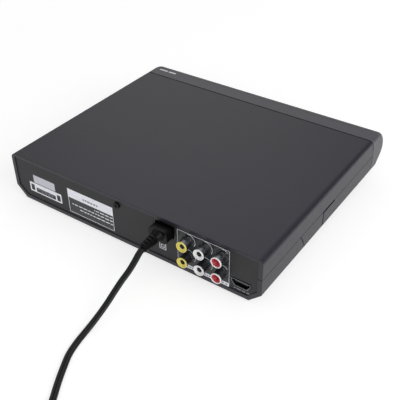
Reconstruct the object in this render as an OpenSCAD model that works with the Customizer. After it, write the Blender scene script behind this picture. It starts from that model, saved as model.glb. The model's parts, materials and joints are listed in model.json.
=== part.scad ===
// Compact disc player with a motorised tray, built up from its separate pieces.
// Millimetres, +Z up, the tray opens towards -Y, the sockets face +Y.

/* [Case] */
// Width over the side walls
case_w = 230; // [228:1:260]
// Depth from the nose of the bezel to the rear edge
case_d = 202; // [200:1:230]
// Height without the feet
case_h = 39.3; // [39:0.1:46]
// Thickness of the moulded walls
wall = 2.2; // [1.8:0.1:2.6]
// Height of the chamfer along the foot of the sides
chamfer_h = 9.3; // [6:0.1:10]
// Inset of that chamfer
chamfer_w = 9.6; // [6:0.1:10]
// Radius of the long top edges
edge_r = 4; // [3:0.1:5]
// Height of the side walls of the bottom case
skirt_h = 22.5; // [20:0.1:24]
// Width of the rim round the rear panel
rim_w = 3.4; // [3:0.1:4]
// Thickness of the rear panel
panel_t = 1.5; // [1:0.1:2]
// Gap between mouldings that meet edge to edge
joint_gap = 0.4; // [0.2:0.05:0.6]

/* [Bezel] */
// Roll radius of the upper nose
nose_r = 17; // [15:0.5:18]
// Roll radius of the chin
chin_r = 12; // [10:0.5:14]
// Depth of the bezel at the middle of its seam
bezel_depth = 23.6; // [22:0.1:26]
// Radius of the curved seam behind the bezel
seam_r = 44; // [40:1:60]
// Width of that seam
seam_gap = 0.9; // [0.5:0.1:1.2]

/* [Feet] */
// Height of a foot below the case
foot_h = 2; // [1.5:0.1:4]
// Radius of a foot
foot_r = 7; // [5:0.5:9]

/* [Tray] */
// Radius of the recess for a full-size disc
disc_r = 60.75; // [60.5:0.05:61.5]
// Radius of the recess for a small disc
small_disc_r = 40.75; // [40.5:0.05:41.5]
// Half width of the tray with its side flanges
tray_half = 64; // [63:0.1:65]
// Depth of the tray bed
tray_h = 7; // [6.5:0.1:8]
// How far the tray slides out
tray_travel = 130; // [127:1:133]
// Height of the tray door
door_h = 13; // [12:0.1:14]
// Gap round the tray door
door_gap = 0.4; // [0.3:0.05:0.8]
// Running gap of the tray in its guides
tray_gap = 0.35; // [0.25:0.05:0.5]

/* [Drive train] */
// Gear module of the loading drive's first stage
rack_m = 1; // [0.9:0.05:1.1]
// Teeth of the gear that drives the rack
drive_teeth = 24; // [20:2:26]
// Gear module of the second stage
wheel_m = 0.8; // [0.7:0.05:0.9]
// Teeth of the second stage's wheel
wheel_teeth = 30; // [26:2:32]
// Teeth of the pinion under the pulley
pinion_teeth = 12; // [12:2:14]
// Backlash between meshing teeth
backlash = 0.2; // [0.12:0.02:0.3]
// Radius of the large pulley's groove
pulley_r = 10.4; // [9.5:0.1:10.6]
// Radius of the motor pulley's groove
motor_pulley_r = 3; // [2.5:0.1:3.5]
// Radius of the posts that carry the gears
post_r = 1.5; // [1.2:0.1:2]
// Radial play of a gear on its post
post_play = 0.06; // [0.02:0.01:0.1]

/* [Disc drive] */
// Angle by which the deck hangs down at rest
deck_drop = 4.6; // [4:0.1:5]
// Radius of the disc platform
platform_r = 15; // [14:0.5:16]
// Radius of the hub that centres a disc
hub_r = 7.4; // [7.2:0.05:7.45]
// Radius of the rods that guide the pickup
rod_r = 1.5; // [1.2:0.1:2]
// Travel of the pickup from the inner to the outer track
sled_travel = 35; // [30:1:36]
// Gear module of the sled's drive
sled_m = 0.7; // [0.6:0.05:0.8]
// Radius of the clamper's plate
clamper_r = 14.5; // [13:0.5:15]

/* [Sockets] */
// Radius of a socket barrel
barrel_r = 4.15; // [4.1:0.01:4.2]
// How far a barrel stands out behind the case
jack_out = 8; // [7:0.1:9]
// Spacing of the sockets both ways
jack_pitch = 14; // [13:0.1:15]
// Radius of a socket's centre contact
contact_r = 1.7; // [1.65:0.01:1.75]
// Width of the video socket shell
hdmi_w = 14.9; // [14.5:0.1:15.2]
// Height of the video socket shell
hdmi_h = 5.9; // [5.5:0.1:6.2]
// Width of the memory-stick socket shell
usb_w = 13.2; // [13:0.1:14]
// Height of the memory-stick socket shell
usb_h = 5.8; // [5.5:0.1:6.2]
// Width of the mains inlet's recess
inlet_w = 18.6; // [18:0.1:20]
// Height of the mains inlet's recess
inlet_h = 13.6; // [12.5:0.1:14]

/* [Buttons] */
// Radius of the three small buttons
button_r = 3.2; // [2.8:0.1:3.5]
// Radius of the power button
power_r = 4.6; // [4:0.1:5]
// Travel of a button
button_travel = 0.8; // [0.5:0.1:1]
// Gap round a button
button_gap = 0.3; // [0.25:0.05:0.4]

/* [Mains lead] */
// Width of the flat twin cable
cable_w = 5.2; // [4.8:0.1:5.6]
// Thickness of the flat twin cable
cable_t = 3.1; // [2.8:0.1:3.4]
// Mean radius of the coil
coil_r = 28.6; // [26:0.2:34]
// Turns side by side in the coil
coil_across = 3; // [2:1:4]
// Layers of turns in the coil
coil_layers = 2; // [1:1:3]

/* [Hidden] */
$fn = 48;
eps = 0.01;

// Case planes
half_w = case_w / 2;
nose_y = -(case_d + jack_out) / 2;
rear_y = nose_y + case_d;
floor_z = foot_h;
top_z = floor_z + case_h;
inner_z = floor_z + wall;
ceil_z = top_z - wall;
part_z = floor_z + skirt_h;
chamfer_a = atan(chamfer_h / chamfer_w);
panel_y = rear_y - 0.6;
panel_in_y = panel_y - panel_t;
far = 400;

// Bezel
nose_z = top_z - nose_r;
seam_z = floor_z + case_h / 2;
seam_cy = nose_y + bezel_depth + seam_r;
// The chin leans 41.22 degrees, a slope whose sine and cosine are both short decimals
chin_a = asin(0.658944);
full_y = nose_y + 19;

// Loader: the tray's middle line, and heights measured from the tray's underside
loader_x = half_w - 75;
tray_z = nose_z - 2.3;
tray_top = tray_z + tray_h;
door_z = nose_z + 0.2;
door_y = nose_y + 6.5;
spindle_y = door_y + 4.6 + disc_r;
chassis_y0 = nose_y + 21;
tray_hold = 19.6;
tray_end_y = chassis_y0 + tray_travel + tray_hold;
chassis_y1 = tray_end_y + 6;
chassis_half = tray_half + tray_gap + 2;
chassis_z = tray_z - 14;
shelf_t = 2;
shelf_z = chassis_z + shelf_t;
slot_half = 20;
bed_z = tray_z + 3;
small_bed_z = tray_z + 1.8;
flange_z = tray_z + 2.5;
flange_t = 2;
chassis_top = tray_top + 2.5;

// Loading drive, all on vertical posts under the tray
rack_x = loader_x - 52;
drive_r = rack_m * drive_teeth / 2;
drive_x = rack_x + drive_r;
drive_y = chassis_y0 + drive_r + 4;
wheel_r = wheel_m * wheel_teeth / 2;
pinion_r = wheel_m * pinion_teeth / 2;
pulley_x = drive_x + wheel_r + pinion_r;
belt_run = 42;
belt_a = 5.5;
motor_x = pulley_x + belt_run * cos(belt_a);
motor_y = drive_y + belt_run * sin(belt_a);
motor_r = 9;
rack_z = tray_z - 3.6;
wheel_z = chassis_z + 3;
belt_z = wheel_z + 4.6;
belt_t = 1.2;
belt_w = 1.4;
cross_y = drive_y + drive_r + rack_m + 1.2;

// Traverse deck, drawn level and hung down by deck_drop about its rear hinge
deck_half = 46;
deck_y0 = cross_y + 6;
hinge_y = spindle_y + 93;
hinge_z = tray_z - 4.5;
deck_z = tray_z - 5.5;
deck_t = 2;
platform_z = tray_z + 4.2;
rod_z = tray_z - 4.8;
rod_x = 21;
sled_y = spindle_y + 23;
sled_rack_x = 31;
sled_pinion_teeth = 12;
sled_wheel_teeth = 28;
sled_motor_teeth = 10;
sled_gear_x = sled_rack_x + sled_m * sled_pinion_teeth / 2;
sled_gear_y = sled_y + 22;
sled_gear_z = deck_z + deck_t + 0.2;
sled_pinion_z = sled_gear_z + 1.4;
sled_motor_y = sled_gear_y + sled_m * (sled_wheel_teeth + sled_motor_teeth) / 2;
lift_pin_r = 1.4;
lift_pin_x = [-16, 24];
lift_run = 18;
lift_y = deck_y0 - 3.4;
lift_t = 2;

// Boards
board_t = 1.6;
board_z = inner_z + 4;
board_top = board_z + board_t;
board_x0 = -half_w + wall + 5.2;
board_x1 = loader_x - chassis_half - 4.5;
main_y0 = 22;
main_y1 = panel_in_y - 3.2;
power_y0 = nose_y + 34;
power_y1 = main_y0 - 4;

// Rear sockets
jack_x = [-56.2, -56.2 - jack_pitch, -56.2 - 2 * jack_pitch];
jack_low_z = board_top + 7.1;
hdmi_x = -98.9;
hdmi_z = board_top + hdmi_h / 2 + 0.1;
inlet_x = -35.6;
inlet_z = top_z - 10.1;
inlet_depth = 9;
barrel_t = 0.5;
barrel_seat = 0.2;

// Front panel
front_z = nose_z;
window_x = -66;
window_w = 62;
window_z = nose_z + 4.2;
window_h = 9.6;
button_z = nose_z - 5;
button_x = [-62, -50, -38];
power_x = -half_w + 11.5;
usb_x = -84;
usb_z = nose_z - 6.9;
front_board_y = nose_y + 16;
front_board_z = floor_z + chamfer_h + 1.2;

// Mains lead, in the case's own frame; the tube starts at the strain relief's end
relief_y = panel_y + 25;
cord_route = [
    [-35.7, 121.4, 31.1], [-36.2, 125.4, 30.4], [-37, 131, 28.2], [-37.4, 138, 25],
    [-37, 146, 21.4], [-36.4, 153, 17], [-35.6, 160, 12], [-34.4, 167, 7.2],
    [-33.6, 174, 3.6], [-33.6, 181, 1.8], [-34.8, 189, 1.6], [-37.4, 199, 1.6],
    [-42, 209, 1.6], [-47.2, 219, 1.6], [-53, 229, 1.6], [-59, 239.4, 1.6],
    [-65.4, 250.4, 1.6], [-72, 261.6, 1.8], [-78.8, 273.2, 2.2]
];
coil_x = -108;
coil_y = 256;
coil_z = 0.65;
coil_pitch = cable_w + 0.1;
coil_band = coil_across * coil_pitch;
coil_h = coil_layers * (cable_t + 0.1);
plug_a = 150;

// ---------------------------------------------------------------- helpers

// Extrude a drawing of (x, z) along Y
module along_y(y0, y1) {
    translate([0, y1, 0]) rotate([90, 0, 0]) linear_extrude(y1 - y0) children();
}

// Extrude a drawing of (y, z) along X
module along_x(x0, x1) {
    translate([x0, 0, 0]) rotate([90, 0, 90]) linear_extrude(x1 - x0) children();
}

// A block given by its two corners
module block(a, b) {
    translate(a) cube(b - a);
}

// A rectangle with round corners, centred
module round_rect(w, h, r) {
    square([w - 2 * r, h], center = true);
    square([w, h - 2 * r], center = true);
    for (sx = [-1, 1], sy = [-1, 1]) translate([sx * (w / 2 - r), sy * (h / 2 - r)]) circle(r);
}

// A bar with round ends between two points
module bar_2d(p, q, r) {
    d = q - p;
    translate(p) rotate(atan2(d[1], d[0])) {
        for (u = [0, norm(d)]) translate([u, 0]) circle(r);
        translate([0, -r]) square([norm(d), 2 * r]);
    }
}

// A cylinder along +Y starting at p
module rod_y(p, r, h) {
    translate(p) rotate([-90, 0, 0]) cylinder(r = r, h = h);
}

// A tube standing on p
module post(p, r, bore, h) {
    translate(p) difference() {
        cylinder(r = r, h = h);
        translate([0, 0, -1]) cylinder(r = bore, h = h + 2);
    }
}

// Ends of the side chamfer, inset by t: half the floor's width, and the chamfer's top
function chamfer_foot(t) = half_w - chamfer_w - t * tan(chamfer_a / 2);
function chamfer_knee(t) = floor_z + chamfer_h + t * tan(45 - chamfer_a / 2);

// The case seen from the front, t inside its outer faces
module case_outline(t = 0) {
    r = max(edge_r - t, 0.5);
    side = half_w - t;
    foot = chamfer_foot(t);
    knee = chamfer_knee(t);
    polygon([
        [-foot, floor_z + t], [foot, floor_z + t], [side, knee], [side, top_z - t - r],
        [side - r, top_z - t - r], [side - r, top_z - t], [-side + r, top_z - t],
        [-side + r, top_z - t - r], [-side, top_z - t - r], [-side, knee]
    ]);
    for (s = [-1, 1]) translate([s * (side - r), top_z - t - r]) circle(r);
}

// Everything behind the bezel's seam, seen from the side; gap moves the seam back
module behind_seam(gap) {
    translate([seam_cy, seam_z]) circle(seam_r - gap, $fn = 96);
    translate([seam_cy, -far / 2]) square([far, far]);
}

// A roll of the bezel along X whose ends are rounded like the case's top edges
module rolled_bar(r, t, from, turn) {
    rr = max(edge_r - t, 0.5);
    h = half_w - t;
    rotate([0, 90, 0]) rotate(from) rotate_extrude(angle = turn) {
        translate([0, -h]) square([r - t - rr, 2 * h]);
        translate([0, -h + rr]) square([r - t, 2 * (h - rr)]);
        for (s = [-1, 1]) translate([r - t - rr, s * (h - rr)]) circle(rr);
    }
}

// The slanting underside of the chin: everything above it, with the same rounded ends
// The chin's axis, with +Y square to the sloping underside and +Z along it
module at_chin() {
    translate([0, nose_y + chin_r, nose_z]) rotate([-90 - chin_a, 0, 0]) children();
}

module chin_slab(t) {
    rr = max(edge_r - t, 0.5);
    h = half_w - t;
    reach = chin_r - t;
    at_chin() linear_extrude(60) {
        translate([-h, -60]) square([2 * h, 60 + reach - rr]);
        translate([rr - h, -60]) square([2 * (h - rr), 60 + reach]);
        for (s = [-1, 1]) translate([s * (h - rr), reach - rr]) circle(rr);
    }
}

// The solid form of the bezel, t inside its outer faces
module bezel_form(t = 0) {
    nose_cy = nose_y + nose_r;
    chin_cy = nose_y + chin_r;
    wide = half_w + 5;
    side = half_w - t;
    foot = chamfer_foot(t);
    knee = chamfer_knee(t);
    translate([0, nose_cy, nose_z]) rolled_bar(nose_r, t, -180, 90);
    along_y(nose_cy, full_y) intersection() {
        case_outline(t);
        translate([-wide, nose_z]) square([2 * wide, case_h]);
    }
    along_y(full_y, nose_y + bezel_depth + 8) case_outline(t);
    intersection() {
        // Room between the floor, the side chamfers and the height of the nose
        along_y(nose_y - 1, full_y) polygon([
            [-foot, floor_z + t], [foot, floor_z + t], [side, knee], [wide, knee],
            [wide, nose_z], [-wide, nose_z], [-wide, knee], [-side, knee]
        ]);
        union() {
            chin_slab(t);
            intersection() {
                translate([0, chin_cy, nose_z]) rolled_bar(chin_r, t, -90, 90);
                at_chin() translate([-wide, -far / 2, -far]) cube([2 * wide, far, far]);
            }
        }
    }
}

// Involute gear: polar angle of a flank at radius r, from the tooth's middle
function flank_a(m, n, r, play) =
    let (base = m * n * cos(20) / 2, c = min(1, base / r))
    90 / n - play / (m * n) * 90 / PI + 0.854 - (tan(acos(c)) * 180 / PI - acos(c));

function gear_points(m, n, play = backlash, steps = 3) =
    let (pitch = m * n / 2, root = pitch - 1.2 * m, tip = pitch + 0.9 * m,
         start = max(root + 0.15 * m, pitch * cos(20)))
    [for (i = [0:n - 1]) each concat(
        [polar(root, i * 360 / n - flank_a(m, n, start, play) - 1)],
        [for (k = [0:steps]) let (r = start + (tip - start) * k / steps)
            polar(r, i * 360 / n - flank_a(m, n, r, play))],
        [for (k = [steps:-1:0]) let (r = start + (tip - start) * k / steps)
            polar(r, i * 360 / n + flank_a(m, n, r, play))],
        [polar(root, i * 360 / n + flank_a(m, n, start, play) + 1)])];

function polar(r, a) = [r * cos(a), r * sin(a)];

// A spur gear with a bore, turned by phase degrees
module spur(m, n, h, bore, phase = 0) {
    linear_extrude(h) difference() {
        rotate(phase) polygon(gear_points(m, n));
        circle(bore);
    }
}

// Rack teeth pointing +X from x = 0, centred on y = 0, n each side, with a bar behind them
module rack_2d(m, y0, y1, back) {
    pitch = PI * m;
    half = pitch / 4 - backlash / 4;
    tip = half - 0.9 * m * tan(20);
    foot = half + 1.2 * m * tan(20);
    first = ceil((y0 + foot) / pitch - 0.5);
    last = floor((y1 - foot) / pitch - 0.5);
    translate([-1.2 * m - back, y0]) square([back, y1 - y0]);
    for (i = [first:last]) translate([0, (i + 0.5) * pitch])
        polygon([[-1.2 * m - eps, -foot], [0.9 * m, -tip], [0.9 * m, tip], [-1.2 * m - eps, foot]]);
}

// ---------------------------------------------------------------- case

module case_feet_xy() {
    for (s = [-1, 1], y = [nose_y + 39, rear_y - 19]) translate([s * (half_w - 23), y, 0])
        children();
}

cover_post_xy = [[-half_w + 13, rear_y - 31], [half_w - 13, rear_y - 15], [-half_w + 13, 4]];
board_post_xy = [
    [board_x0 + 5, main_y0 + 4], [board_x1 - 4, main_y0 + 4], [board_x0 + 4, main_y1 - 18],
    [board_x1 - 26, main_y1 - 22], [board_x0 + 5, power_y0 + 5], [board_x1 - 4, power_y0 + 5],
    [board_x0 + 5, power_y1 - 5], [board_x1 - 4, power_y1 - 5]
];
chassis_post_xy = [
    [loader_x - chassis_half + 8, chassis_y0 + 56], [loader_x + chassis_half - 10, chassis_y0 + 24],
    [loader_x - chassis_half + 8, chassis_y1 - 8], [loader_x + chassis_half - 10, chassis_y1 - 8]
];
screw_r = 1.3;
screw_pilot = 1.35;

module bottom_case() {
    color("#46464a") difference() {
        union() {
            difference() {
                along_y(nose_y, rear_y) case_outline();
                translate([0, 0, eps]) along_y(nose_y - 1, panel_in_y - 2) case_outline(wall);
                along_y(panel_in_y - 3, rear_y + 1) case_outline(rim_w);
                along_y(panel_in_y, panel_y + joint_gap) case_outline(wall);
                block([-half_w - 1, nose_y - 1, part_z], [half_w + 1, rear_y + 1, top_z + 1]);
            }
            for (p = board_post_xy) post([p[0], p[1], inner_z - eps], 3, screw_pilot, board_z - inner_z);
            for (p = chassis_post_xy)
                post([p[0], p[1], inner_z - eps], 3.6, screw_pilot, chassis_z - inner_z);
            for (p = cover_post_xy)
                translate([p[0], p[1], inner_z - eps]) cylinder(r = 4.2, h = 5);
            case_feet_xy() translate([0, 0, inner_z - eps]) cylinder(r = foot_r + 1, h = 1.2);
            for (x = [-20, 20, 78]) block([x, nose_y + 31, inner_z - eps], [x + 1.4, nose_y + 38, inner_z + 1]);
        }
        along_x(-half_w - 1, half_w + 1) difference() {
            translate([nose_y - 1, 0]) square([bezel_depth + seam_r, top_z]);
            behind_seam(seam_gap);
        }
        case_feet_xy() translate([0, 0, floor_z - 1]) cylinder(r = foot_r + joint_gap / 2, h = 2);
        case_feet_xy() translate([0, 0, floor_z - 1]) cylinder(r = 2.1, h = 20);
        for (p = cover_post_xy) translate([p[0], p[1], 0]) {
            cylinder(r = 1.6, h = 30);
            translate([0, 0, floor_z - 1]) cylinder(r = 3, h = 4.4);
        }
        for (s = [-1, 1]) side_cuts(s);
        floor_vents();
    }
}

// Step, slot and slanted cut in the lower side walls, which free the snap tab between them
module side_cuts(s) {
    step_y0 = -10.4;
    tab_y0 = 8.4;
    tab_y1 = 43.8;
    tab_foot_y1 = 36.3;
    cut_z = floor_z + chamfer_h + 0.7;
    depth = 1.3;
    at = s > 0 ? half_w - depth : -half_w - 1;
    translate([at, 0, 0]) {
        block([0, tab_y0 - 1, cut_z - 0.7], [depth + 1, tab_y0 + 0.4, part_z + 1]);
        block([0, step_y0, part_z - 1.4], [depth + 1, tab_y0 - 1 + eps, part_z + 1]);
        along_x(0, depth + 1) polygon([
            [tab_foot_y1 - 0.4, cut_z - 0.7], [tab_foot_y1 + 0.4, cut_z - 0.7],
            [tab_y1 + 0.4, part_z + 1], [tab_y1 - 0.4, part_z + 1]
        ]);
    }
}

// Rows of air slots under the boards and the loader
module floor_vents() {
    for (i = [0:10], row = [0, 1]) translate([-96 + i * 5.4, row ? 42 : -34, 0])
        linear_extrude(20) round_rect(2.2, 22, 1);
    for (i = [0:8]) translate([26 + i * 5.4, 34, 0]) linear_extrude(20) round_rect(2.2, 22, 1);
}

module top_cover() {
    color("#4a4a4e") difference() {
        union() {
            difference() {
                along_y(nose_y, rear_y) case_outline();
                along_y(nose_y - 1, panel_in_y - 2) case_outline(wall);
                along_y(panel_in_y - 3, rear_y + 1) intersection() {
                    case_outline(rim_w);
                    translate([-half_w, 0]) square([case_w, ceil_z]);
                }
                along_y(panel_in_y - 3, rear_y + 1) translate([-half_w + rim_w, part_z - 1])
                    square([case_w - 2 * rim_w, ceil_z - part_z + 1]);
                along_y(panel_in_y, panel_y + joint_gap) case_outline(wall);
                block([-half_w - 1, nose_y - 1, 0], [half_w + 1, rear_y + 1, part_z + joint_gap]);
            }
            // A lip inside the lower case's walls, its screw posts and the rear tab
            for (s = [-1, 1]) cover_lip(s);
            for (p = cover_post_xy)
                post([p[0], p[1], inner_z + 5 + joint_gap / 2], 4.2, screw_pilot,
                    ceil_z - inner_z - 5);
            block([rear_screw_x - 5, panel_in_y - 8, rear_screw_z - 4],
                [rear_screw_x + 5, panel_in_y - joint_gap / 2, ceil_z + eps]);
            for (y = [nose_y + 52, spindle_y + 62, rear_y - 34]) roof_rib(y);
        }
        along_x(-half_w - 1, half_w + 1) difference() {
            translate([nose_y - 1, 0]) square([bezel_depth + seam_r, top_z + 1]);
            behind_seam(seam_gap);
        }
        rod_y([rear_screw_x, panel_in_y - 9, rear_screw_z], screw_pilot, 10);
    }
}

rear_screw_x = 7;
rear_screw_z = top_z - 6.7;

module cover_lip(s) {
    lip_t = 1.1;
    x = s * (half_w - wall - joint_gap / 2 - lip_t / 2);
    block([x - lip_t / 2, nose_y + bezel_depth + 14, part_z - 2.5],
        [x + lip_t / 2, panel_in_y - 4, part_z + joint_gap + 2]);
    block([min(x, s * half_w * 0.995), nose_y + bezel_depth + 14, part_z + joint_gap + 1],
        [max(x, s * half_w * 0.995), panel_in_y - 4, part_z + joint_gap + 2]);
}

module roof_rib(y) {
    block([-half_w + wall, y, ceil_z - 1.2], [half_w - wall, y + 1.4, ceil_z + eps]);
}

module rear_panel() {
    edge = joint_gap / 2;
    color("#3d3e3f") difference() {
        along_y(panel_in_y, panel_y) case_outline(wall + edge);
        for (x = jack_x, row = [0, 1])
            rod_y([x, panel_in_y - 1, jack_low_z + row * jack_pitch], barrel_r + barrel_seat + 0.65, panel_t + 2);
        along_y(panel_in_y - 1, panel_y + 1) {
            translate([hdmi_x, hdmi_z]) hdmi_outline(0.35);
            translate([inlet_x, inlet_z]) round_rect(inlet_w + 0.3, inlet_h + 0.3, 1);
        }
        rod_y([rear_screw_x, panel_in_y - 1, rear_screw_z], 1.6, panel_t + 2);
    }
}

module front_bezel() {
    lip_y = nose_y + bezel_depth;
    color("#5c5c60") difference() {
        union() {
            difference() {
                bezel_form();
                bezel_form(wall);
                along_x(-half_w - 1, half_w + 1) behind_seam(0);
            }
            // The sleeve that slides into the case mouldings
            intersection() {
                bezel_form(wall / 2);
                difference() {
                    union() {
                        along_y(nose_y + 14, lip_y + 6.9) case_outline(wall + joint_gap / 2);
                        along_y(nose_y + 14, lip_y - 2) case_outline(wall - eps);
                    }
                    along_y(nose_y + 13, lip_y + 9) case_outline(2 * wall);
                }
            }
            // Sleeves that guide the buttons
            for (x = button_x) button_guide(x, button_z, button_r);
            button_guide(power_x, front_z, power_r);
            // Slotted posts that hold the front board
            for (x = [board_x0 + 8, usb_x + 12, board_x1 - 5])
                block([x, front_board_y - 1.6, inner_z], [x + 2, front_board_y + board_t + 1.6, 16]);
        }
        block([board_x0, front_board_y - 0.1, front_board_z], [board_x1 + 1, front_board_y + board_t + 0.1, 20]);
        door_opening(door_gap);
        display_opening(0);
        for (x = button_x) rod_y([x, nose_y - 1, button_z], button_r + button_gap, 20);
        rod_y([power_x, nose_y - 1, front_z], power_r + button_gap, 20);
        along_y(nose_y - 1, nose_y + 12) translate([usb_x, usb_z])
            round_rect(usb_w + 0.6, usb_h + 0.6, 0.6);
        block([loader_x - tray_half - 3, nose_y + 13, door_z - door_h / 2 - 6],
            [loader_x + tray_half + 3, nose_y + bezel_depth + 9, door_z + door_h / 2 + 1.6]);
    }
}

module button_guide(x, z, r) {
    intersection() {
        rod_y([x, nose_y + 1.6, z], r + button_gap + 1.1, 7.5);
        at_chin() translate([-half_w, -60, -60]) cube([case_w, 60 + chin_r - 0.6, 120]);
    }
}

module door_opening(gap) {
    block([loader_x - tray_half - 2 - gap, nose_y - 1, door_z - door_h / 2 - gap],
        [loader_x + tray_half + 2 + gap, nose_y + 14, door_z + door_h / 2 + gap]);
}

module display_opening(gap) {
    along_y(nose_y - 1, nose_y + 8) translate([window_x, window_z])
        round_rect(window_w - 2 * gap, window_h - 2 * gap, 1.6);
}

// Smoked window, bent like the nose it sits in
module display_window() {
    color("#16181c") intersection() {
        difference() {
            bezel_form(0.15);
            bezel_form(wall - 0.2);
        }
        display_opening(0.15);
    }
}

module rubber_feet() {
    color("#1c1c1d") case_feet_xy() {
        difference() {
            rotate_extrude() polygon([
                [0, 0], [foot_r - 1, 0], [foot_r - 0.2, 1], [foot_r, foot_h + 0.9],
                [0, foot_h + 0.9]
            ]);
            translate([0, 0, -1]) cylinder(r = 2.4, h = 2.2);
        }
        translate([0, 0, foot_h + 0.5]) cylinder(r = 1.95, h = wall + 1.4);
        translate([0, 0, inner_z + 1.3]) rotate_extrude()
            polygon([[0, 0], [2.6, 0], [2, 1.2], [0, 1.2]]);
    }
}

// Self-tapping screw along +Z from the underside of its head, with a cross in the head
module screw(length, head_r = 2.6, shank_r = screw_r) {
    difference() {
        translate([0, 0, -1.5]) cylinder(r = head_r, h = 1.5);
        for (a = [0, 90]) rotate(a) translate([-1.4, -0.3, -1.6]) cube([2.8, 0.6, 1]);
    }
    cylinder(r = shank_r, h = length);
}

module case_screws() {
    color("#303033") {
        for (p = cover_post_xy) translate([p[0], p[1], floor_z + 3.4]) screw(10);
        translate([rear_screw_x, panel_y + eps, rear_screw_z]) rotate([90, 0, 0]) screw(7);
    }
}

// ---------------------------------------------------------------- tray and loader

module disc_tray() {
    bed_half = tray_half - 2;
    x0 = loader_x - bed_half;
    x1 = loader_x + bed_half;
    color("#2b2b2e") {
        difference() {
            union() {
                tray_block(x0, x1);
                for (s = [-1, 1]) block(
                    [loader_x + s * (bed_half + 0.9) - 1.1, door_y + 12, flange_z],
                    [loader_x + s * (bed_half + 0.9) + 1.1, tray_end_y - 1, flange_z + flange_t]);
            }
            translate([loader_x, spindle_y, bed_z]) cylinder(r = disc_r, h = 20, $fn = 96);
            translate([loader_x, spindle_y, small_bed_z]) cylinder(r = small_disc_r, h = 20, $fn = 96);
            // Chamfered lead-in round the recess
            translate([loader_x, spindle_y, tray_top - 1.2])
                cylinder(r1 = disc_r - 0.4, r2 = disc_r + 1, h = 1.3, $fn = 96);
            // Slot for the turntable and the pickup, open at the rear
            translate([loader_x, spindle_y, 0]) cylinder(r = slot_half, h = 60);
            block([loader_x - slot_half, spindle_y, 0], [loader_x + slot_half, tray_end_y + 1, 60]);
            // Finger scallops beside the recess
            for (s = [-1, 1]) translate([loader_x + s * 46, spindle_y - 48, bed_z - 0.4])
                cylinder(r = 12, h = 20);
            // Windows and pockets in the tail
            for (s = [-1, 1]) tail_cuts(s);
        }
        // Rack under the left side
        translate([rack_x, drive_y, rack_z]) linear_extrude(tray_z - rack_z + eps)
            rack_2d(rack_m, door_y + 12 - drive_y, tray_end_y - 2 - drive_y, 2.4);
        // Ribs below the bed
        for (x = [loader_x + 54, loader_x + 58])
            block([x - 0.7, door_y + 10, tray_z - 1.1], [x + 0.7, tray_end_y - 8, tray_z + eps]);
    }
}

module tray_block(x0, x1) {
    corner = 6;
    translate([(x0 + x1) / 2, (door_y + tray_end_y) / 2, tray_z]) linear_extrude(tray_h) difference() {
        square([x1 - x0, tray_end_y - door_y], center = true);
        for (s = [-1, 1]) translate([s * (x1 - x0) / 2, (tray_end_y - door_y) / 2]) rotate(45)
            square(corner, center = true);
    }
}

module tail_cuts(s) {
    y0 = spindle_y + disc_r + 4;
    y1 = tray_end_y - 5;
    for (k = [0, 1, 2]) {
        x = loader_x + s * (slot_half + 5 + 12.4 * k);
        block([min(x, x + s * 9.8), y0 - (k == 0 ? 0 : 2 * k), tray_z + 1.6],
            [max(x, x + s * 9.8), y1, tray_top + 1]);
    }
}

// Door bent like the nose, hollow behind, with ribs that meet the tray
module tray_door() {
    half = tray_half + 2;
    z0 = door_z - door_h / 2;
    z1 = door_z + door_h / 2;
    color("#55555a") difference() {
        intersection() {
            bezel_form();
            block([loader_x - half, nose_y - 1, z0], [loader_x + half, door_y, z1]);
        }
        difference() {
            intersection() {
                bezel_form(wall);
                block([loader_x - half + 2, nose_y, z0 + 1.8], [loader_x + half - 2, door_y + 1, z1 - 1.8]);
            }
            for (i = [-4:4]) block([loader_x + i * 15 - 0.8, nose_y, z0], [loader_x + i * 15 + 0.8, door_y + 2, z1]);
        }
    }
}

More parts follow.
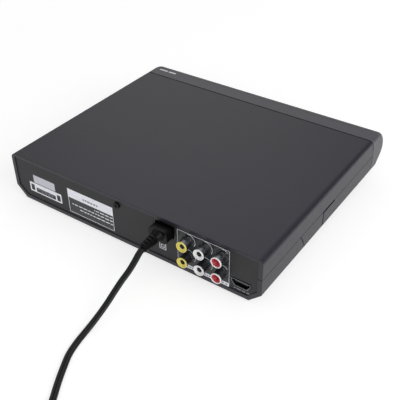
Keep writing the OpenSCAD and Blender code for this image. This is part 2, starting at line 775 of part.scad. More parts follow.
module loader_chassis() {
    x0 = loader_x - chassis_half;
    x1 = loader_x + chassis_half;
    side_t = 2;
    color("#333336") difference() {
        union() {
            // Side walls with the tray's rails and hold-down lugs
            for (s = [-1, 1]) chassis_side(s, side_t);
            // Front shelf that carries the loading drive
            block([x0, chassis_y0, chassis_z], [x1, cross_y + 1.8, shelf_z]);
            // Wall behind the drive, which the lift slider hooks over
            block([pulley_x + 1, cross_y, chassis_z], [x1, cross_y + 1.8, tray_z - 1.7]);
            // Rear wall and its foot
            block([x0, chassis_y1 - 2, chassis_z], [x1, chassis_y1, chassis_top]);
            block([x0, hinge_y + 6, chassis_z], [x1, chassis_y1, shelf_z]);
            // Side feet
            for (s = [-1, 1]) block(
                [loader_x + s * (chassis_half - 6) - 6, chassis_y0, chassis_z],
                [loader_x + s * (chassis_half - 6) + 6, chassis_y1, shelf_z]);
            // Hinge ears of the deck
            for (s = [-1, 1]) hinge_ear(s);
            // Ears that carry the clamp bridge
            for (s = [-1, 1], y = [-8, 8])
                translate([loader_x + s * (chassis_half + 2), spindle_y + y, chassis_top - 9])
                    cylinder(r = 3, h = 9);
            // Gear posts
            translate([drive_x, drive_y, shelf_z - eps]) cylinder(r = post_r, h = tray_z - shelf_z - 0.8);
            translate([pulley_x, drive_y, shelf_z - eps])
                cylinder(r = post_r, h = belt_z + 3.2 - shelf_z);
            for (x = [drive_x, pulley_x]) translate([x, drive_y, shelf_z - eps])
                cylinder(r = 3.2, h = wheel_z - shelf_z - 0.15);
        }
        // Seat of the loading motor
        translate([motor_x, motor_y, chassis_z - 1]) cylinder(r = motor_r + 0.15, h = 20);
        // Pilot holes in the bridge's ears
        for (s = [-1, 1], y = [-8, 8])
            translate([loader_x + s * (chassis_half + 2), spindle_y + y, chassis_top - 6])
                cylinder(r = screw_pilot, h = 7);
        // Screw holes above the case's posts
        for (p = chassis_post_xy) translate([p[0], p[1], chassis_z - 1]) cylinder(r = 1.6, h = 5);
        // Bevel along the outer foot, clear of the case's chamfer
        along_y(chassis_y0 - 1, chassis_y1 + 1) polygon([
            [x1 + 1, chassis_z - 1], [x1 - 4, chassis_z - 1], [x1 + 1, chassis_z + 4]
        ]);
    }
}

module chassis_side(s, side_t) {
    wall_x = loader_x + s * (chassis_half - side_t / 2);
    rail_x = loader_x + s * (chassis_half - side_t - 0.9);
    rail_top = flange_z - tray_gap;
    lug_z = flange_z + flange_t + tray_gap;
    block([wall_x - side_t / 2, chassis_y0, chassis_z], [wall_x + side_t / 2, chassis_y1, chassis_top]);
    block([rail_x - 0.95, chassis_y0, rail_top - 2.4], [rail_x + 0.95, chassis_y1 - 1, rail_top]);
    for (y = [chassis_y0 + 1, chassis_y0 + 60, chassis_y1 - 30])
        block([rail_x - 0.95, y, lug_z], [rail_x + 0.95, y + 12, lug_z + 2]);
}

module hinge_ear(s) {
    x = loader_x + s * (deck_half + 3);
    difference() {
        union() {
            block([x - 1.5, hinge_y - 4, chassis_z], [x + 1.5, hinge_y + 7, hinge_z]);
            translate([x - 1.5, hinge_y, hinge_z]) rotate([0, 90, 0]) cylinder(r = 4, h = 3);
            block([x - 1.5, hinge_y, chassis_z], [x + 1.5, hinge_y + 7, hinge_z]);
        }
        translate([x - 3, hinge_y, hinge_z]) rotate([0, 90, 0]) cylinder(r = hinge_pin_r + 0.06, h = 6);
    }
}

hinge_pin_r = 2;

module chassis_screws() {
    color("#a9abb0") {
        for (p = chassis_post_xy) translate([p[0], p[1], shelf_z]) rotate([180, 0, 0])
            screw(shelf_t + 2.5);
        for (s = [-1, 1], y = [-8, 8]) translate([loader_x + s * (chassis_half + 2), spindle_y + y,
            bridge_z + bridge_t]) rotate([180, 0, 0]) screw(bridge_t + 5);
    }
}

bridge_z = chassis_top;
bridge_t = 2;
clamper_z = platform_z + 1.5;

// Bar across the tray that carries the clamper
module clamp_bridge() {
    half = chassis_half + 5;
    color("#3a3a3d") difference() {
        union() {
            translate([loader_x, spindle_y, bridge_z]) linear_extrude(bridge_t) {
                round_rect(2 * half, 24, 2);
                circle(20);
            }
            for (s = [-1, 1]) translate([loader_x, spindle_y + s * 11.3, bridge_z + bridge_t - eps])
                linear_extrude(1.8) difference() {
                    round_rect(2 * half - 2, 1.2, 0.5);
                    square([2 * 19, 3], center = true);
                }
        }
        translate([loader_x, spindle_y, bridge_z - 1]) cylinder(r = clamper_neck_r + 0.6, h = 6);
        for (s = [-1, 1], y = [-8, 8])
            translate([loader_x + s * (chassis_half + 2), spindle_y + y, bridge_z - 1])
                cylinder(r = 1.6, h = 6);
        for (s = [-1, 1], k = [0:3]) translate([loader_x + s * (26 + 8 * k), spindle_y, bridge_z - 1])
            linear_extrude(6) round_rect(3, 12, 1.4);
    }
}

clamper_neck_r = 10;

module clamper() {
    rim = bridge_z + bridge_t + 0.3;
    color("#e6e6e2") translate([loader_x, spindle_y, 0]) rotate_extrude() polygon([
        [0, clamper_z + 2.4], [hub_r + 0.6, clamper_z + 2.4], [hub_r + 1.2, clamper_z],
        [clamper_r, clamper_z], [clamper_r, clamper_z + 1.4], [clamper_neck_r, clamper_z + 2.2],
        [clamper_neck_r, rim], [clamper_neck_r + 2.6, rim], [clamper_neck_r + 2.6, rim + 1.4],
        [clamper_neck_r - 1.4, rim + 1.4], [clamper_neck_r - 1.4, clamper_z + 4], [0, clamper_z + 4]
    ]);
}

// Steel disc pressed into the clamper, drawn down by the turntable's magnet
module clamp_plate() {
    color("#c8cacd") translate([loader_x, spindle_y, clamper_z + 4])
        cylinder(r = clamper_neck_r - 1.45, h = 1.2);
}

// ---------------------------------------------------------------- loading drive

module loading_motor() {
    top = shelf_z + 2.2;
    color("#b4b6ba") translate([motor_x, motor_y, 0]) {
        translate([0, 0, chassis_z - 3.4]) cylinder(r = motor_r, h = top - chassis_z + 3.4);
        translate([0, 0, shelf_z]) cylinder(r = motor_r + 0.9, h = 0.8);
        translate([0, 0, top - eps]) cylinder(r = 2.6, h = 0.9);
        translate([0, 0, top]) cylinder(r = 0.8, h = belt_z + 2.2 - top);
    }
}

// Grooved wheel for the belt
module groove_wheel(r, bore) {
    rotate_extrude() polygon([
        [bore, 0], [r + 1.2, 0], [r + 1.2, 0.4], [r, 0.9], [r, 0.9 + belt_w + 0.2],
        [r + 1.2, 1.4 + belt_w + 0.2], [r + 1.2, 1.8 + belt_w], [bore, 1.8 + belt_w]
    ]);
}

module motor_pulley() {
    color("#d8d6cc") translate([motor_x, motor_y, belt_z - 1]) groove_wheel(motor_pulley_r, 0.84);
}

module drive_belt() {
    play = 0.08;
    d = belt_run;
    lean = asin((pulley_r - motor_pulley_r) / d);
    color("#1d1d1f") translate([pulley_x, drive_y, belt_z]) rotate(belt_a)
        linear_extrude(belt_w) difference() {
        polygon(band_points(d, lean, pulley_r + play + belt_t, motor_pulley_r + play + belt_t));
        polygon(band_points(d, lean, pulley_r + play, motor_pulley_r + play));
    }
}

// Outline of a band round two circles
function band_points(d, lean, r0, r1) = concat(
    [for (i = [0:24]) polar(r0, 90 - lean + i * (180 + 2 * lean) / 24)],
    [for (i = [0:16]) [d, 0] + polar(r1, lean - 90 + i * (180 - 2 * lean) / 16)]);

module pulley_gear() {
    bore = post_r + post_play;
    color("#e4e1d6") translate([pulley_x, drive_y, 0]) {
        translate([0, 0, wheel_z]) spur(wheel_m, pinion_teeth, belt_z - 1 - wheel_z + eps, bore,
            180 / pinion_teeth);
        translate([0, 0, belt_z - 1]) groove_wheel(pulley_r, bore);
    }
}

module drive_gear() {
    bore = post_r + post_play;
    hub_z = wheel_z + 3.4;
    color("#e4e1d6") translate([drive_x, drive_y, 0]) {
        translate([0, 0, wheel_z]) spur(wheel_m, wheel_teeth, hub_z - wheel_z, bore);
        translate([0, 0, hub_z - eps]) linear_extrude(rack_z - hub_z + 2 * eps) difference() {
            circle(4);
            circle(bore);
        }
        translate([0, 0, rack_z]) spur(rack_m, drive_teeth, tray_z - rack_z - 0.5, bore);
    }
}

// ---------------------------------------------------------------- disc drive

// Hangs a level drawing of the deck down about its hinge
module hung() {
    translate([loader_x, hinge_y, hinge_z]) rotate([deck_drop, 0, 0])
        translate([0, -hinge_y, -hinge_z]) children();
}

module traverse_deck() {
    y1 = hinge_y;
    rim_z = deck_z - 2.2;
    color("#2f3033") hung() difference() {
        union() {
            translate([0, (deck_y0 + y1) / 2, deck_z]) linear_extrude(deck_t)
                round_rect(2 * deck_half, y1 - deck_y0, 3);
            // Rim below the plate
            translate([0, (deck_y0 + y1) / 2, rim_z]) linear_extrude(deck_z - rim_z + eps) difference() {
                round_rect(2 * deck_half, y1 - deck_y0, 3);
                round_rect(2 * deck_half - 3.2, y1 - deck_y0 - 3.2, 2);
            }
            // Hinge barrel ends and pins
            for (s = [-1, 1]) translate([s * (deck_half - 3), hinge_y, hinge_z]) rotate([0, s * 90, 0]) {
                translate([0, 0, -2]) cylinder(r = 3.4, h = 5);
                cylinder(r = hinge_pin_r, h = 7.7);
            }
            // Pins that ride in the lift slider
            for (x = lift_pin_x) rod_y([x, lift_y - 0.3, deck_z], lift_pin_r, 6);
            // Rod holders
            for (s = [-1, 1], y = [sled_y - 15.5, sled_y + sled_travel + 16])
                block([s * rod_x - 3, y, deck_z - 1.2], [s * rod_x + 3, y + 3, rod_z + 2.6]);
            // Post of the sled gear
            translate([sled_gear_x, sled_gear_y, deck_z]) cylinder(r = 1, h = deck_t + 2.9);
        }
        // Window for the pickup, and the spindle motor's seat
        block([-slot_half + 2, sled_y - 12, rim_z - 1],
            [slot_half - 2, sled_y + sled_travel + 15, deck_z + 9]);
        for (s = [-1, 1]) block([s * rod_x - 5, sled_y - 12, rim_z - 1],
            [s * rod_x + 5, sled_y + sled_travel + 15, deck_z + 9]);
        translate([0, spindle_y, rim_z - 1]) cylinder(r = 10.3, h = 12);
        // Rods
        for (s = [-1, 1]) rod_y([s * rod_x, sled_y - 14, rod_z], rod_r + eps, sled_travel + 31.5);
        // Hole for the sled motor's neck
        translate([sled_gear_x, sled_motor_y, rim_z - 1]) cylinder(r = 2.6, h = 12);
    }
}

module guide_rods() {
    color("#c9ccd1") hung() for (s = [-1, 1])
        rod_y([s * rod_x, sled_y - 14, rod_z], rod_r, sled_travel + 31.4);
}

module spindle_motor() {
    color("#a6a8ac") hung() translate([0, spindle_y, 0]) {
        translate([0, 0, deck_z - 3]) cylinder(r = 10.2, h = 3);
        translate([0, 0, deck_z + deck_t]) cylinder(r = 12, h = 2.4);
        translate([0, 0, deck_z - eps]) cylinder(r = 10.2, h = deck_t + 2 * eps);
        cylinder_at(deck_z + deck_t + 2.3, 2.4, 0.8);
        cylinder_at(deck_z + deck_t, 0.95, platform_z - deck_z - deck_t);
    }
}

module cylinder_at(z, r, h) {
    translate([0, 0, z]) cylinder(r = r, h = h);
}

module turntable() {
    boss_z = deck_z + deck_t + 3.4;
    color("#34353a") hung() translate([0, spindle_y, 0]) rotate_extrude() polygon([
        [1, boss_z], [3.4, boss_z], [3.4, platform_z - 2.2], [platform_r - 1, platform_z - 1.8],
        [platform_r, platform_z - 1.2], [platform_r, platform_z], [hub_r, platform_z],
        [hub_r, platform_z + 1.4], [hub_r - 1.6, platform_z + 2.6], [4.6, platform_z + 2.6],
        [4, platform_z + 2], [1, platform_z + 2]
    ]);
}

// Pickup body on its two rods, with the rack that drives it
module pickup_sled() {
    foot_z = deck_z - 1.8;
    lug_top = rod_z + 2.7;
    color("#3b3c41") hung() difference() {
        union() {
            block([-15, sled_y - 10, foot_z], [15, sled_y + 12, rod_z + 3.2]);
            translate([0, sled_y, rod_z + 3.2 - eps]) linear_extrude(2.2) round_rect(22, 15, 3);
            for (s = [-1, 1]) block([s * rod_x - 3.4, sled_y - 8, rod_z - 2.7],
                [s * rod_x + 3.4, sled_y + 10, lug_top]);
            block([-rod_x, sled_y - 8, rod_z - 1], [rod_x, sled_y + 10, rod_z + 1]);
            // Arm out to the rack, over the deck's plate
            block([rod_x + 0.6, sled_y - 2, rod_z + 1.6],
                [rod_x + 3.4, sled_y + 8, sled_pinion_z + 1.2]);
            block([rod_x + 3, sled_y - 2, sled_pinion_z + 0.1],
                [sled_rack_x - 2, sled_y + 8, sled_pinion_z + 1.2]);
            translate([sled_rack_x, sled_gear_y, sled_pinion_z + 0.1]) linear_extrude(1.1)
                rack_2d(sled_m, sled_y - 21 - sled_gear_y, sled_y + 25 - sled_gear_y, 1.4);
        }
        for (s = [-1, 1]) rod_y([s * rod_x, sled_y - 30, rod_z], rod_r + 0.06, 60);
        // Well of the lens and the flexure windows either side
        translate([0, sled_y, rod_z + 1.6]) cylinder(r = 4.4, h = 10);
        for (s = [-1, 1]) block([s * 8 - 1.2, sled_y - 5, rod_z + 2], [s * 8 + 1.2, sled_y + 5, rod_z + 9]);
    }
}

module pickup_lens() {
    color("#6f86a8") hung() translate([0, sled_y, 0]) {
        translate([0, 0, rod_z + 1.6]) cylinder(r = 4.3, h = 3.6);
        translate([0, 0, rod_z + 5.2 - eps]) rotate_extrude() polygon(concat(
            [[0, 0], [2.8, 0]], [for (a = [10:20:90]) [2.8 * cos(a), 1.1 * sin(a)]]));
    }
}

module sled_motor() {
    color("#b4b6ba") hung() translate([sled_gear_x, sled_motor_y, 0]) {
        cylinder_at(deck_z - 5, 6, 5 - eps);
        cylinder_at(deck_z - 0.02, 2.5, deck_t);
        cylinder_at(deck_z + deck_t - 0.1, 0.6, 1.5);
    }
}

module sled_pinion() {
    color("#e4e1d6") hung() translate([sled_gear_x, sled_motor_y, sled_gear_z])
        spur(sled_m, sled_motor_teeth, 1.2, 0.64);
}

module sled_gear() {
    color("#e4e1d6") hung() translate([sled_gear_x, sled_gear_y, 0]) {
        translate([0, 0, sled_gear_z]) spur(sled_m, sled_wheel_teeth, 1.2, 1.06, 90);
        translate([0, 0, sled_gear_z + 1.2 - eps]) linear_extrude(0.3) difference() {
            circle(2.9);
            circle(1.06);
        }
        translate([0, 0, sled_pinion_z]) spur(sled_m, sled_pinion_teeth, 1.3, 1.06);
    }
}

// Bar with slanted slots that lifts the front of the deck as it slides towards -X
module lift_slider() {
    lift_r = deck_y0 - 2.6 - hinge_y;
    low = hinge_z + lift_r * sin(deck_drop) + (deck_z - hinge_z) * cos(deck_drop);
    high = deck_z;
    wall_top = tray_z - 1.7;
    x0 = loader_x + lift_pin_x[0] - 5;
    x1 = loader_x + lift_pin_x[1] + lift_run + 5;
    color("#d9d5c6") {
        difference() {
            along_y(lift_y, lift_y + lift_t) translate([(x0 + x1) / 2, (low + high) / 2])
                round_rect(x1 - x0, high - low + 2 * lift_pin_r + 3, 2);
            along_y(lift_y - 1, lift_y + lift_t + 1) for (x = lift_pin_x)
                bar_2d([loader_x + x, low], [loader_x + x + lift_run, high], lift_pin_r + 0.3);
        }
        // Hook over the wall behind the loading drive
        block([x0 + 20, lift_y + 0.1, high + lift_pin_r + 1], [x1 - 2, lift_y + lift_t, wall_top + 1.1]);
        block([x0 + 20, cross_y - 0.8, wall_top + 0.15], [x1 - 2, lift_y + lift_t, wall_top + 1.2]);
    }
}

// ---------------------------------------------------------------- boards and sockets

module chip(x, y, w, d, h) {
    block([x, y, board_top - eps], [x + w, y + d, board_top + h]);
}

module main_board() {
    color("#1f5a3a") difference() {
        union() {
            block([board_x0, main_y0, board_z], [board_x1, main_y1, board_top]);
            chip(-92, 44, 16, 16, 1.6);
            chip(-66, 40, 11, 20, 1.4);
            chip(-50, 46, 8, 6, 1.5);
            chip(-104, 32, 6, 5, 1.5);
            for (i = [0:2]) translate([-88 + 9 * i, 68, board_top - eps]) cylinder(r = 2.4, h = 5.5);
            chip(board_x1 - 9, 40, 5, 18, 4);
        }
        for (p = board_post_xy) translate([p[0], p[1], board_z - 1]) cylinder(r = 1.6, h = 5);
        translate([cover_post_xy[0][0], cover_post_xy[0][1], board_z - 1]) cylinder(r = 5, h = 5);
    }
}

// Block of six sockets: the body behind the panel, with a bore for each barrel's root
module av_jack_housing() {
    w = 3 * jack_pitch - 0.2;
    z1 = jack_low_z + 1.5 * jack_pitch - 1;
    color("#141415") difference() {
        union() {
            block([jack_x[1] - w / 2, panel_in_y - 14, board_top],
                [jack_x[1] + w / 2, panel_in_y - 0.1, z1]);
            for (x = jack_x, row = [0, 1])
                rod_y([x, panel_in_y - 2, jack_low_z + row * jack_pitch], barrel_r + barrel_seat + 0.45, panel_t + 2);
        }
        for (x = jack_x, row = [0, 1])
            rod_y([x, panel_in_y - 8, jack_low_z + row * jack_pitch], barrel_r + barrel_seat + eps, 14);
        for (i = [-1, 1]) block([jack_x[1] + i * jack_pitch / 2 - 0.6, panel_in_y - 15, board_top + 3],
            [jack_x[1] + i * jack_pitch / 2 + 0.6, panel_in_y - 6, z1 + 1]);
    }
}

module jack_barrels() {
    color("#2c2c2e") for (x = jack_x, row = [0, 1])
        translate([x, panel_in_y - 8, jack_low_z + row * jack_pitch]) rotate([-90, 0, 0]) difference() {
            union() {
                cylinder(r = barrel_r, h = rear_y + jack_out - panel_in_y + 8);
                cylinder(r = barrel_r + barrel_seat, h = panel_t + 8);
            }
            translate([0, 0, 1]) cylinder(r = barrel_r - barrel_t, h = 40);
        }
}

// Coloured insulators with the centre contact's hole
module jack_rings(x) {
    len = rear_y + jack_out - panel_in_y + 8 - 1 - 0.5;
    for (row = [0, 1]) translate([x, panel_in_y - 7 + eps, jack_low_z + row * jack_pitch])
        rotate([-90, 0, 0]) difference() {
            cylinder(r = barrel_r - barrel_t - 0.02, h = len);
            translate([0, 0, len - 9]) cylinder(r = contact_r, h = 10);
            translate([0, 0, len - 0.9]) cylinder(r1 = contact_r, r2 = contact_r + 0.9, h = 1);
        }
}

module jack_rings_yellow() { color("#e8d45f") jack_rings(jack_x[0]); }
module jack_rings_white() { color("#e8e8e8") jack_rings(jack_x[1]); }
module jack_rings_red() { color("#a8182c") jack_rings(jack_x[2]); }

// Section of the video socket, grown by g
module hdmi_outline(g = 0) {
    w = hdmi_w / 2 + g;
    h = hdmi_h / 2 + g;
    step = 1.5;
    polygon([
        [-w, h], [w, h], [w, h - 2.6 - g], [w - step, -h + 1.2], [w - step - 0.8, -h],
        [-w + step + 0.8, -h], [-w + step, -h + 1.2], [-w, h - 2.6 - g]
    ]);
}

module hdmi_shell() {
    back = panel_in_y - 11;
    color("#c6c8cc") translate([hdmi_x, 0, hdmi_z]) difference() {
        along_y(back, panel_y + 0.5) hdmi_outline();
        along_y(back + 0.8, panel_y + 1) hdmi_outline(-0.45);
    }
}

module hdmi_tongue() {
    back = panel_in_y - 11;
    color("#141416") translate([hdmi_x, 0, hdmi_z]) {
        along_y(back + 0.8, back + 4) hdmi_outline(-0.5);
        block([-5.2, back + 4 - eps, 0.1], [5.2, panel_y - 0.6, 1.9]);
    }
}

module power_board() {
    color("#8a6b3c") difference() {
        union() {
            block([board_x0, power_y0, board_z], [board_x1, power_y1, board_top]);
            chip(-104, power_y0 + 34, 5, 18, 7);
            chip(-52, power_y0 + 3, 12, 6, 8);
            chip(-48, power_y1 - 16, 5, 10, 9);
        }
        for (p = board_post_xy) translate([p[0], p[1], board_z - 1]) cylinder(r = 1.6, h = 5);
        translate([cover_post_xy[2][0], cover_post_xy[2][1], board_z - 1]) cylinder(r = 5, h = 5);
    }
}

module transformer() {
    x = -76;
    y = power_y0 + 34;
    color("#c9a227") {
        block([x - 9, y - 9, board_top], [x + 9, y + 9, board_top + 3]);
        translate([x, y, board_top + 3 - eps]) linear_extrude(11) round_rect(14, 15, 2.5);
        translate([x, y, board_top + 13]) linear_extrude(3) round_rect(20, 18, 1);
        for (s = [-1, 1]) block([x + s * 9.1 - 1.4, y - 7, board_top + 2], [x + s * 9.1 + 1.4, y + 7, board_top + 13.5]);
    }
}

module capacitors() {
    spots = [[-46, power_y0 + 26, 6, 17], [-98, power_y0 + 16, 4, 12], [-88, power_y0 + 14, 4, 12],
        [-66, power_y1 - 10, 3.2, 11], [-57, power_y1 - 10, 3.2, 11]];
    color("#26324f") for (c = spots) translate([c[0], c[1], board_top]) difference() {
        cylinder(r = c[2], h = c[3]);
        translate([0, 0, c[3] - 0.3]) cylinder(r = c[2] - 0.8, h = 1);
        for (a = [0, 90]) rotate(a) translate([-c[2] * 0.7, -0.2, c[3] - 0.6]) cube([c[2] * 1.4, 0.4, 1]);
        translate([0, 0, 1.6]) rotate_extrude() translate([c[2], 0]) circle(0.35, $fn = 16);
    }
}

// Finned block for the switching transistor
module power_heat_sink() {
    x = -60;
    y = power_y0 + 20;
    color("#8f9296") {
        block([x - 1, y - 10, board_top], [x + 1, y + 10, board_top + 18]);
        for (i = [-3:3]) block([x + 1 - eps, y + i * 3 - 0.5, board_top + 3], [x + 6, y + i * 3 + 0.5, board_top + 18]);
    }
}

// Figure-of-eight outline of the inlet and of what goes into it
module eight_outline(half, r) {
    for (s = [-1, 1]) translate([s * half, 0]) circle(r);
    square([2 * half, 2 * r - 1], center = true);
}

module mains_inlet() {
    front = panel_y - 0.1;
    back = panel_in_y - inlet_depth - 7;
    color("#111112") difference() {
        union() {
            along_y(back, front) translate([inlet_x, inlet_z]) round_rect(inlet_w, inlet_h, 1);
            // Flange behind the panel
            along_y(panel_in_y - 1.6, panel_in_y - 0.05) translate([inlet_x, inlet_z])
                round_rect(inlet_w + 3, inlet_h + 1.6, 1);
        }
        along_y(panel_in_y - inlet_depth + 7, front + 1) translate([inlet_x, inlet_z])
            round_rect(inlet_w - 2.2, inlet_h - 2.2, 0.8);
        along_y(panel_in_y - inlet_depth - 5, front + 1) translate([inlet_x, inlet_z])
            eight_outline(3.4, 3.9);
        for (s = [-1, 1]) rod_y([inlet_x + s * 4.3, back - 1, inlet_z], 1.2, 10);
    }
}

module inlet_pins() {
    back = panel_in_y - inlet_depth - 9;
    color("#d5d7da") for (s = [-1, 1]) {
        rod_y([inlet_x + s * 4.3, back, inlet_z], 1.19, 11);
        translate([inlet_x + s * 4.3, back + 11 - eps, inlet_z]) rotate([-90, 0, 0])
            cylinder(r1 = 1.19, r2 = 0.7, h = 1);
    }
}

module front_board() {
    color("#1f5a3a") difference() {
        block([board_x0 + 4, front_board_y, front_board_z],
            [board_x1, front_board_y + board_t, ceil_z - 3]);
        for (x = button_x) rod_y([x, front_board_y - 1, button_z], 0.6, 4);
    }
    // Key switches behind the buttons
    color("#202022") {
        for (x = button_x) key_switch(x, button_z);
        key_switch(power_x, front_z);
    }
}

module key_switch(x, z) {
    block([x - 3, front_board_y - 3.4, z - 3], [x + 3, front_board_y + eps, z + 3]);
}

module digit_display() {
    y0 = front_board_y - 6;
    color("#2a2a2c") difference() {
        block([window_x - 25, y0, window_z - 4], [window_x + 25, front_board_y - eps, window_z + 4]);
        // Seven-segment windows of four digits
        for (i = [0:3]) translate([window_x - 18 + 12 * i, y0 - eps, window_z]) {
            for (z = [-2.6, 0, 2.6]) block([-1.4, 0, z - 0.3], [1.4, 0.4, z + 0.3]);
            for (x = [-1.8, 1.8], z = [-1.3, 1.3]) block([x - 0.3, 0, z - 0.9], [x + 0.3, 0.4, z + 0.9]);
        }
    }
}

module usb_shell() {
    back = front_board_y;
    color("#c6c8cc") translate([usb_x, 0, usb_z]) difference() {
        along_y(nose_y + 1.1, back) round_rect(usb_w, usb_h, 0.5);
        along_y(nose_y, back - 0.6) round_rect(usb_w - 0.7, usb_h - 0.7, 0.3);
    }
}

module usb_tongue() {
    back = front_board_y;
    color("#ececea") translate([usb_x, 0, usb_z]) {
        along_y(back - 3, back - 0.6) round_rect(usb_w - 0.75, usb_h - 0.75, 0.3);
        block([-5.4, nose_y + 2.4, 0.2], [5.4, back - 3 + eps, 2]);
    }
}

module board_screws() {
    color("#a9abb0") for (p = board_post_xy) translate([p[0], p[1], board_top]) rotate([180, 0, 0])
        screw(board_t + 3);
}

// Flat cable from the main board to the loader, folded up against the chassis
module loader_ribbon() {
    x0 = board_x1 - 6;
    x1 = loader_x - chassis_half - 0.15;
    z0 = board_top + 4.2;
    color("#d8dade") translate([0, 40, 0]) rotate([90, 0, 0]) mirror([0, 0, 1]) linear_extrude(16) {
        translate([x0, z0]) square([x1 - x0 - 2, 0.4]);
        translate([x1 - 2, z0 + 2]) intersection() {
            difference() {
                circle(2);
                circle(1.6);
            }
            translate([0, -2]) square(2);
        }
        translate([x1 - 0.4, z0 + 2 - eps]) square([0.4, 10]);
    }
}

// ---------------------------------------------------------------- buttons

// Button along -Y with a domed face, a collar behind the bezel and a stem to its switch
module push_button(x, z, r) {
    face_y = nose_y + 0.3 + (front_z - z > 1 ? chin_r - sqrt(chin_r * chin_r - (front_z - z) * (front_z - z)) : 0);
    seat_y = nose_y + 9.3;
    color("#7b7b80") translate([x, 0, z]) rotate([90, 0, 0]) rotate_extrude() {
        translate([0, -front_board_y + 3.4 + button_travel + 0.05]) square([1.6, front_board_y - seat_y - 3.4]);
        translate([0, -seat_y - 1.2]) square([r + 0.9, 1.2]);
        translate([0, -seat_y - eps]) square([r, seat_y - face_y - 0.8]);
        translate([0, -face_y - 0.85]) polygon([
            [0, 0], [r, 0], [r, 0.3], [r - 0.25, 0.7], [r - 0.8, 0.9], [r / 2, 1.05], [0, 1.1]
        ]);
    }
}

module power_button() { push_button(power_x, front_z, power_r); }
module open_button() { push_button(button_x[0], button_z, button_r); }
module play_button() { push_button(button_x[1], button_z, button_r); }
module stop_button() { push_button(button_x[2], button_z, button_r); }

// ---------------------------------------------------------------- mains lead

module inlet_connector() {
    front = panel_in_y - inlet_depth + 1;
    body_y = panel_y + 8;
    color("#161617") {
        difference() {
            along_y(front, body_y) translate([inlet_x, inlet_z]) eight_outline(3.4, 3.8);
            for (s = [-1, 1]) rod_y([inlet_x + s * 4.3, front - 1, inlet_z], 1.3, 9);
        }
        along_y(panel_y + 1, body_y) translate([inlet_x, inlet_z]) round_rect(16, 10.4, 3);
        // Neck and ribbed relief
        translate([inlet_x, body_y - eps, inlet_z]) rotate([-90, 0, 0]) {
            cylinder(r1 = 5, r2 = 3.4, h = 4);
            cylinder(r1 = 3, r2 = 2.7, h = relief_y - body_y);
            for (i = [0:3]) translate([0, 0, 4.8 + i * 3.1]) cylinder(r = 3.9 - 0.18 * i, h = 1.8);
        }
    }
}

// A point along the lead, then a ring round it
function along_route(p, u) =
    let (n = len(p) - 1, s = min(floor(u * n), n - 1), t = u * n - s,
         a = p[max(s - 1, 0)], b = p[s], c = p[s + 1], d = p[min(s + 2, n)])
    0.5 * ((2 * b) + (c - a) * t + (2 * a - 5 * b + 4 * c - d) * t * t
        + (3 * b - a - 3 * c + d) * t * t * t);

function ring(c, dir, rx, ry, n) =
    let (f = dir / norm(dir), side = cross(f, [0, 0, 1]), x = side / norm(side), y = cross(x, f))
    [for (i = [0:n - 1]) c + rx * cos(i * 360 / n) * x + ry * sin(i * 360 / n) * y];

module power_cord() {
    rings = 36;
    n = 8;
    at = [for (i = [0:rings]) along_route(cord_route, i / rings)];
    points = [for (i = [0:rings]) each
        ring(at[i], at[min(i + 1, rings)] - at[max(i - 1, 0)], cable_w / 2, cable_t / 2, n)];
    sides = [for (i = [0:rings - 1], k = [0:n - 1])
        [i * n + k, i * n + (k + 1) % n, (i + 1) * n + (k + 1) % n, (i + 1) * n + k]];
    color("#161617") polyhedron(points, concat([[for (k = [n - 1:-1:0]) k]], sides,
        [[for (k = [0:n - 1]) rings * n + k]]));
}

module cord_coil() {
    color("#161617") translate([coil_x, coil_y, coil_z]) rotate_extrude($fn = 72)
        translate([coil_r - coil_band / 2, 0]) square([coil_band, coil_h]);
}

// Strap looped round the coil's turns
module cord_tie() {
    strap = 0.6;
    gap = 0.5;
    half = coil_band / 2 + gap;
    top = coil_z + coil_h + 0.05;
    color("#2d2d30") translate([coil_x, coil_y, 0]) rotate(255) translate([coil_r, -4, 0]) difference() {
        block([-half - strap, 0, 0.05], [half + strap, 8, top + strap]);
        block([-half, -1, coil_z], [half, 9, top]);
    }
}

// Flat two-pin plug with its ribbed relief, lying beside the coil
module at_plug() {
    r = coil_r + coil_band / 2 - coil_pitch / 2;
    translate([coil_x, coil_y, plug_half_h + 0.05]) rotate(plug_a) translate([r, 0, 0]) rotate(-24) children();
}

plug_half_h = 6.6;
plug_y = 20;
plug_len = 24;

module mains_plug() {
    color("#161617") at_plug() difference() {
        union() {
            rotate([-90, 0, 0]) {
                cylinder(r1 = 2.7, r2 = 4.2, h = plug_y + eps);
                for (i = [0:3]) translate([0, 0, 3 + 4 * i]) cylinder(r = 3.8 + 0.4 * i, h = 2);
            }
            along_y(plug_y, plug_y + plug_len) round_rect(22, 2 * plug_half_h, 4);
            // Finger ridges on both broad faces
            for (y = [plug_y + 6, plug_y + 10, plug_y + 14]) along_y(y, y + 1.6)
                round_rect(23, 2 * plug_half_h, 4);
        }
        for (s = [-1, 1]) plug_pin(s, 0.02, 6);
    }
}

module plug_pin(s, play, depth) {
    x = s * 6.35;
    end = plug_y + plug_len;
    block([x - 0.75 - play, end - depth, -3.1 - play], [x + 0.75 + play, end + 16.5, 3.1 + play]);
}

module plug_pins() {
    color("#d5d7da") at_plug() for (s = [-1, 1]) difference() {
        plug_pin(s, 0, 6);
        translate([s * 6.35 - 2, plug_y + plug_len + 12.5, 0]) rotate([0, 90, 0]) cylinder(r = 1.5, h = 4);
    }
}

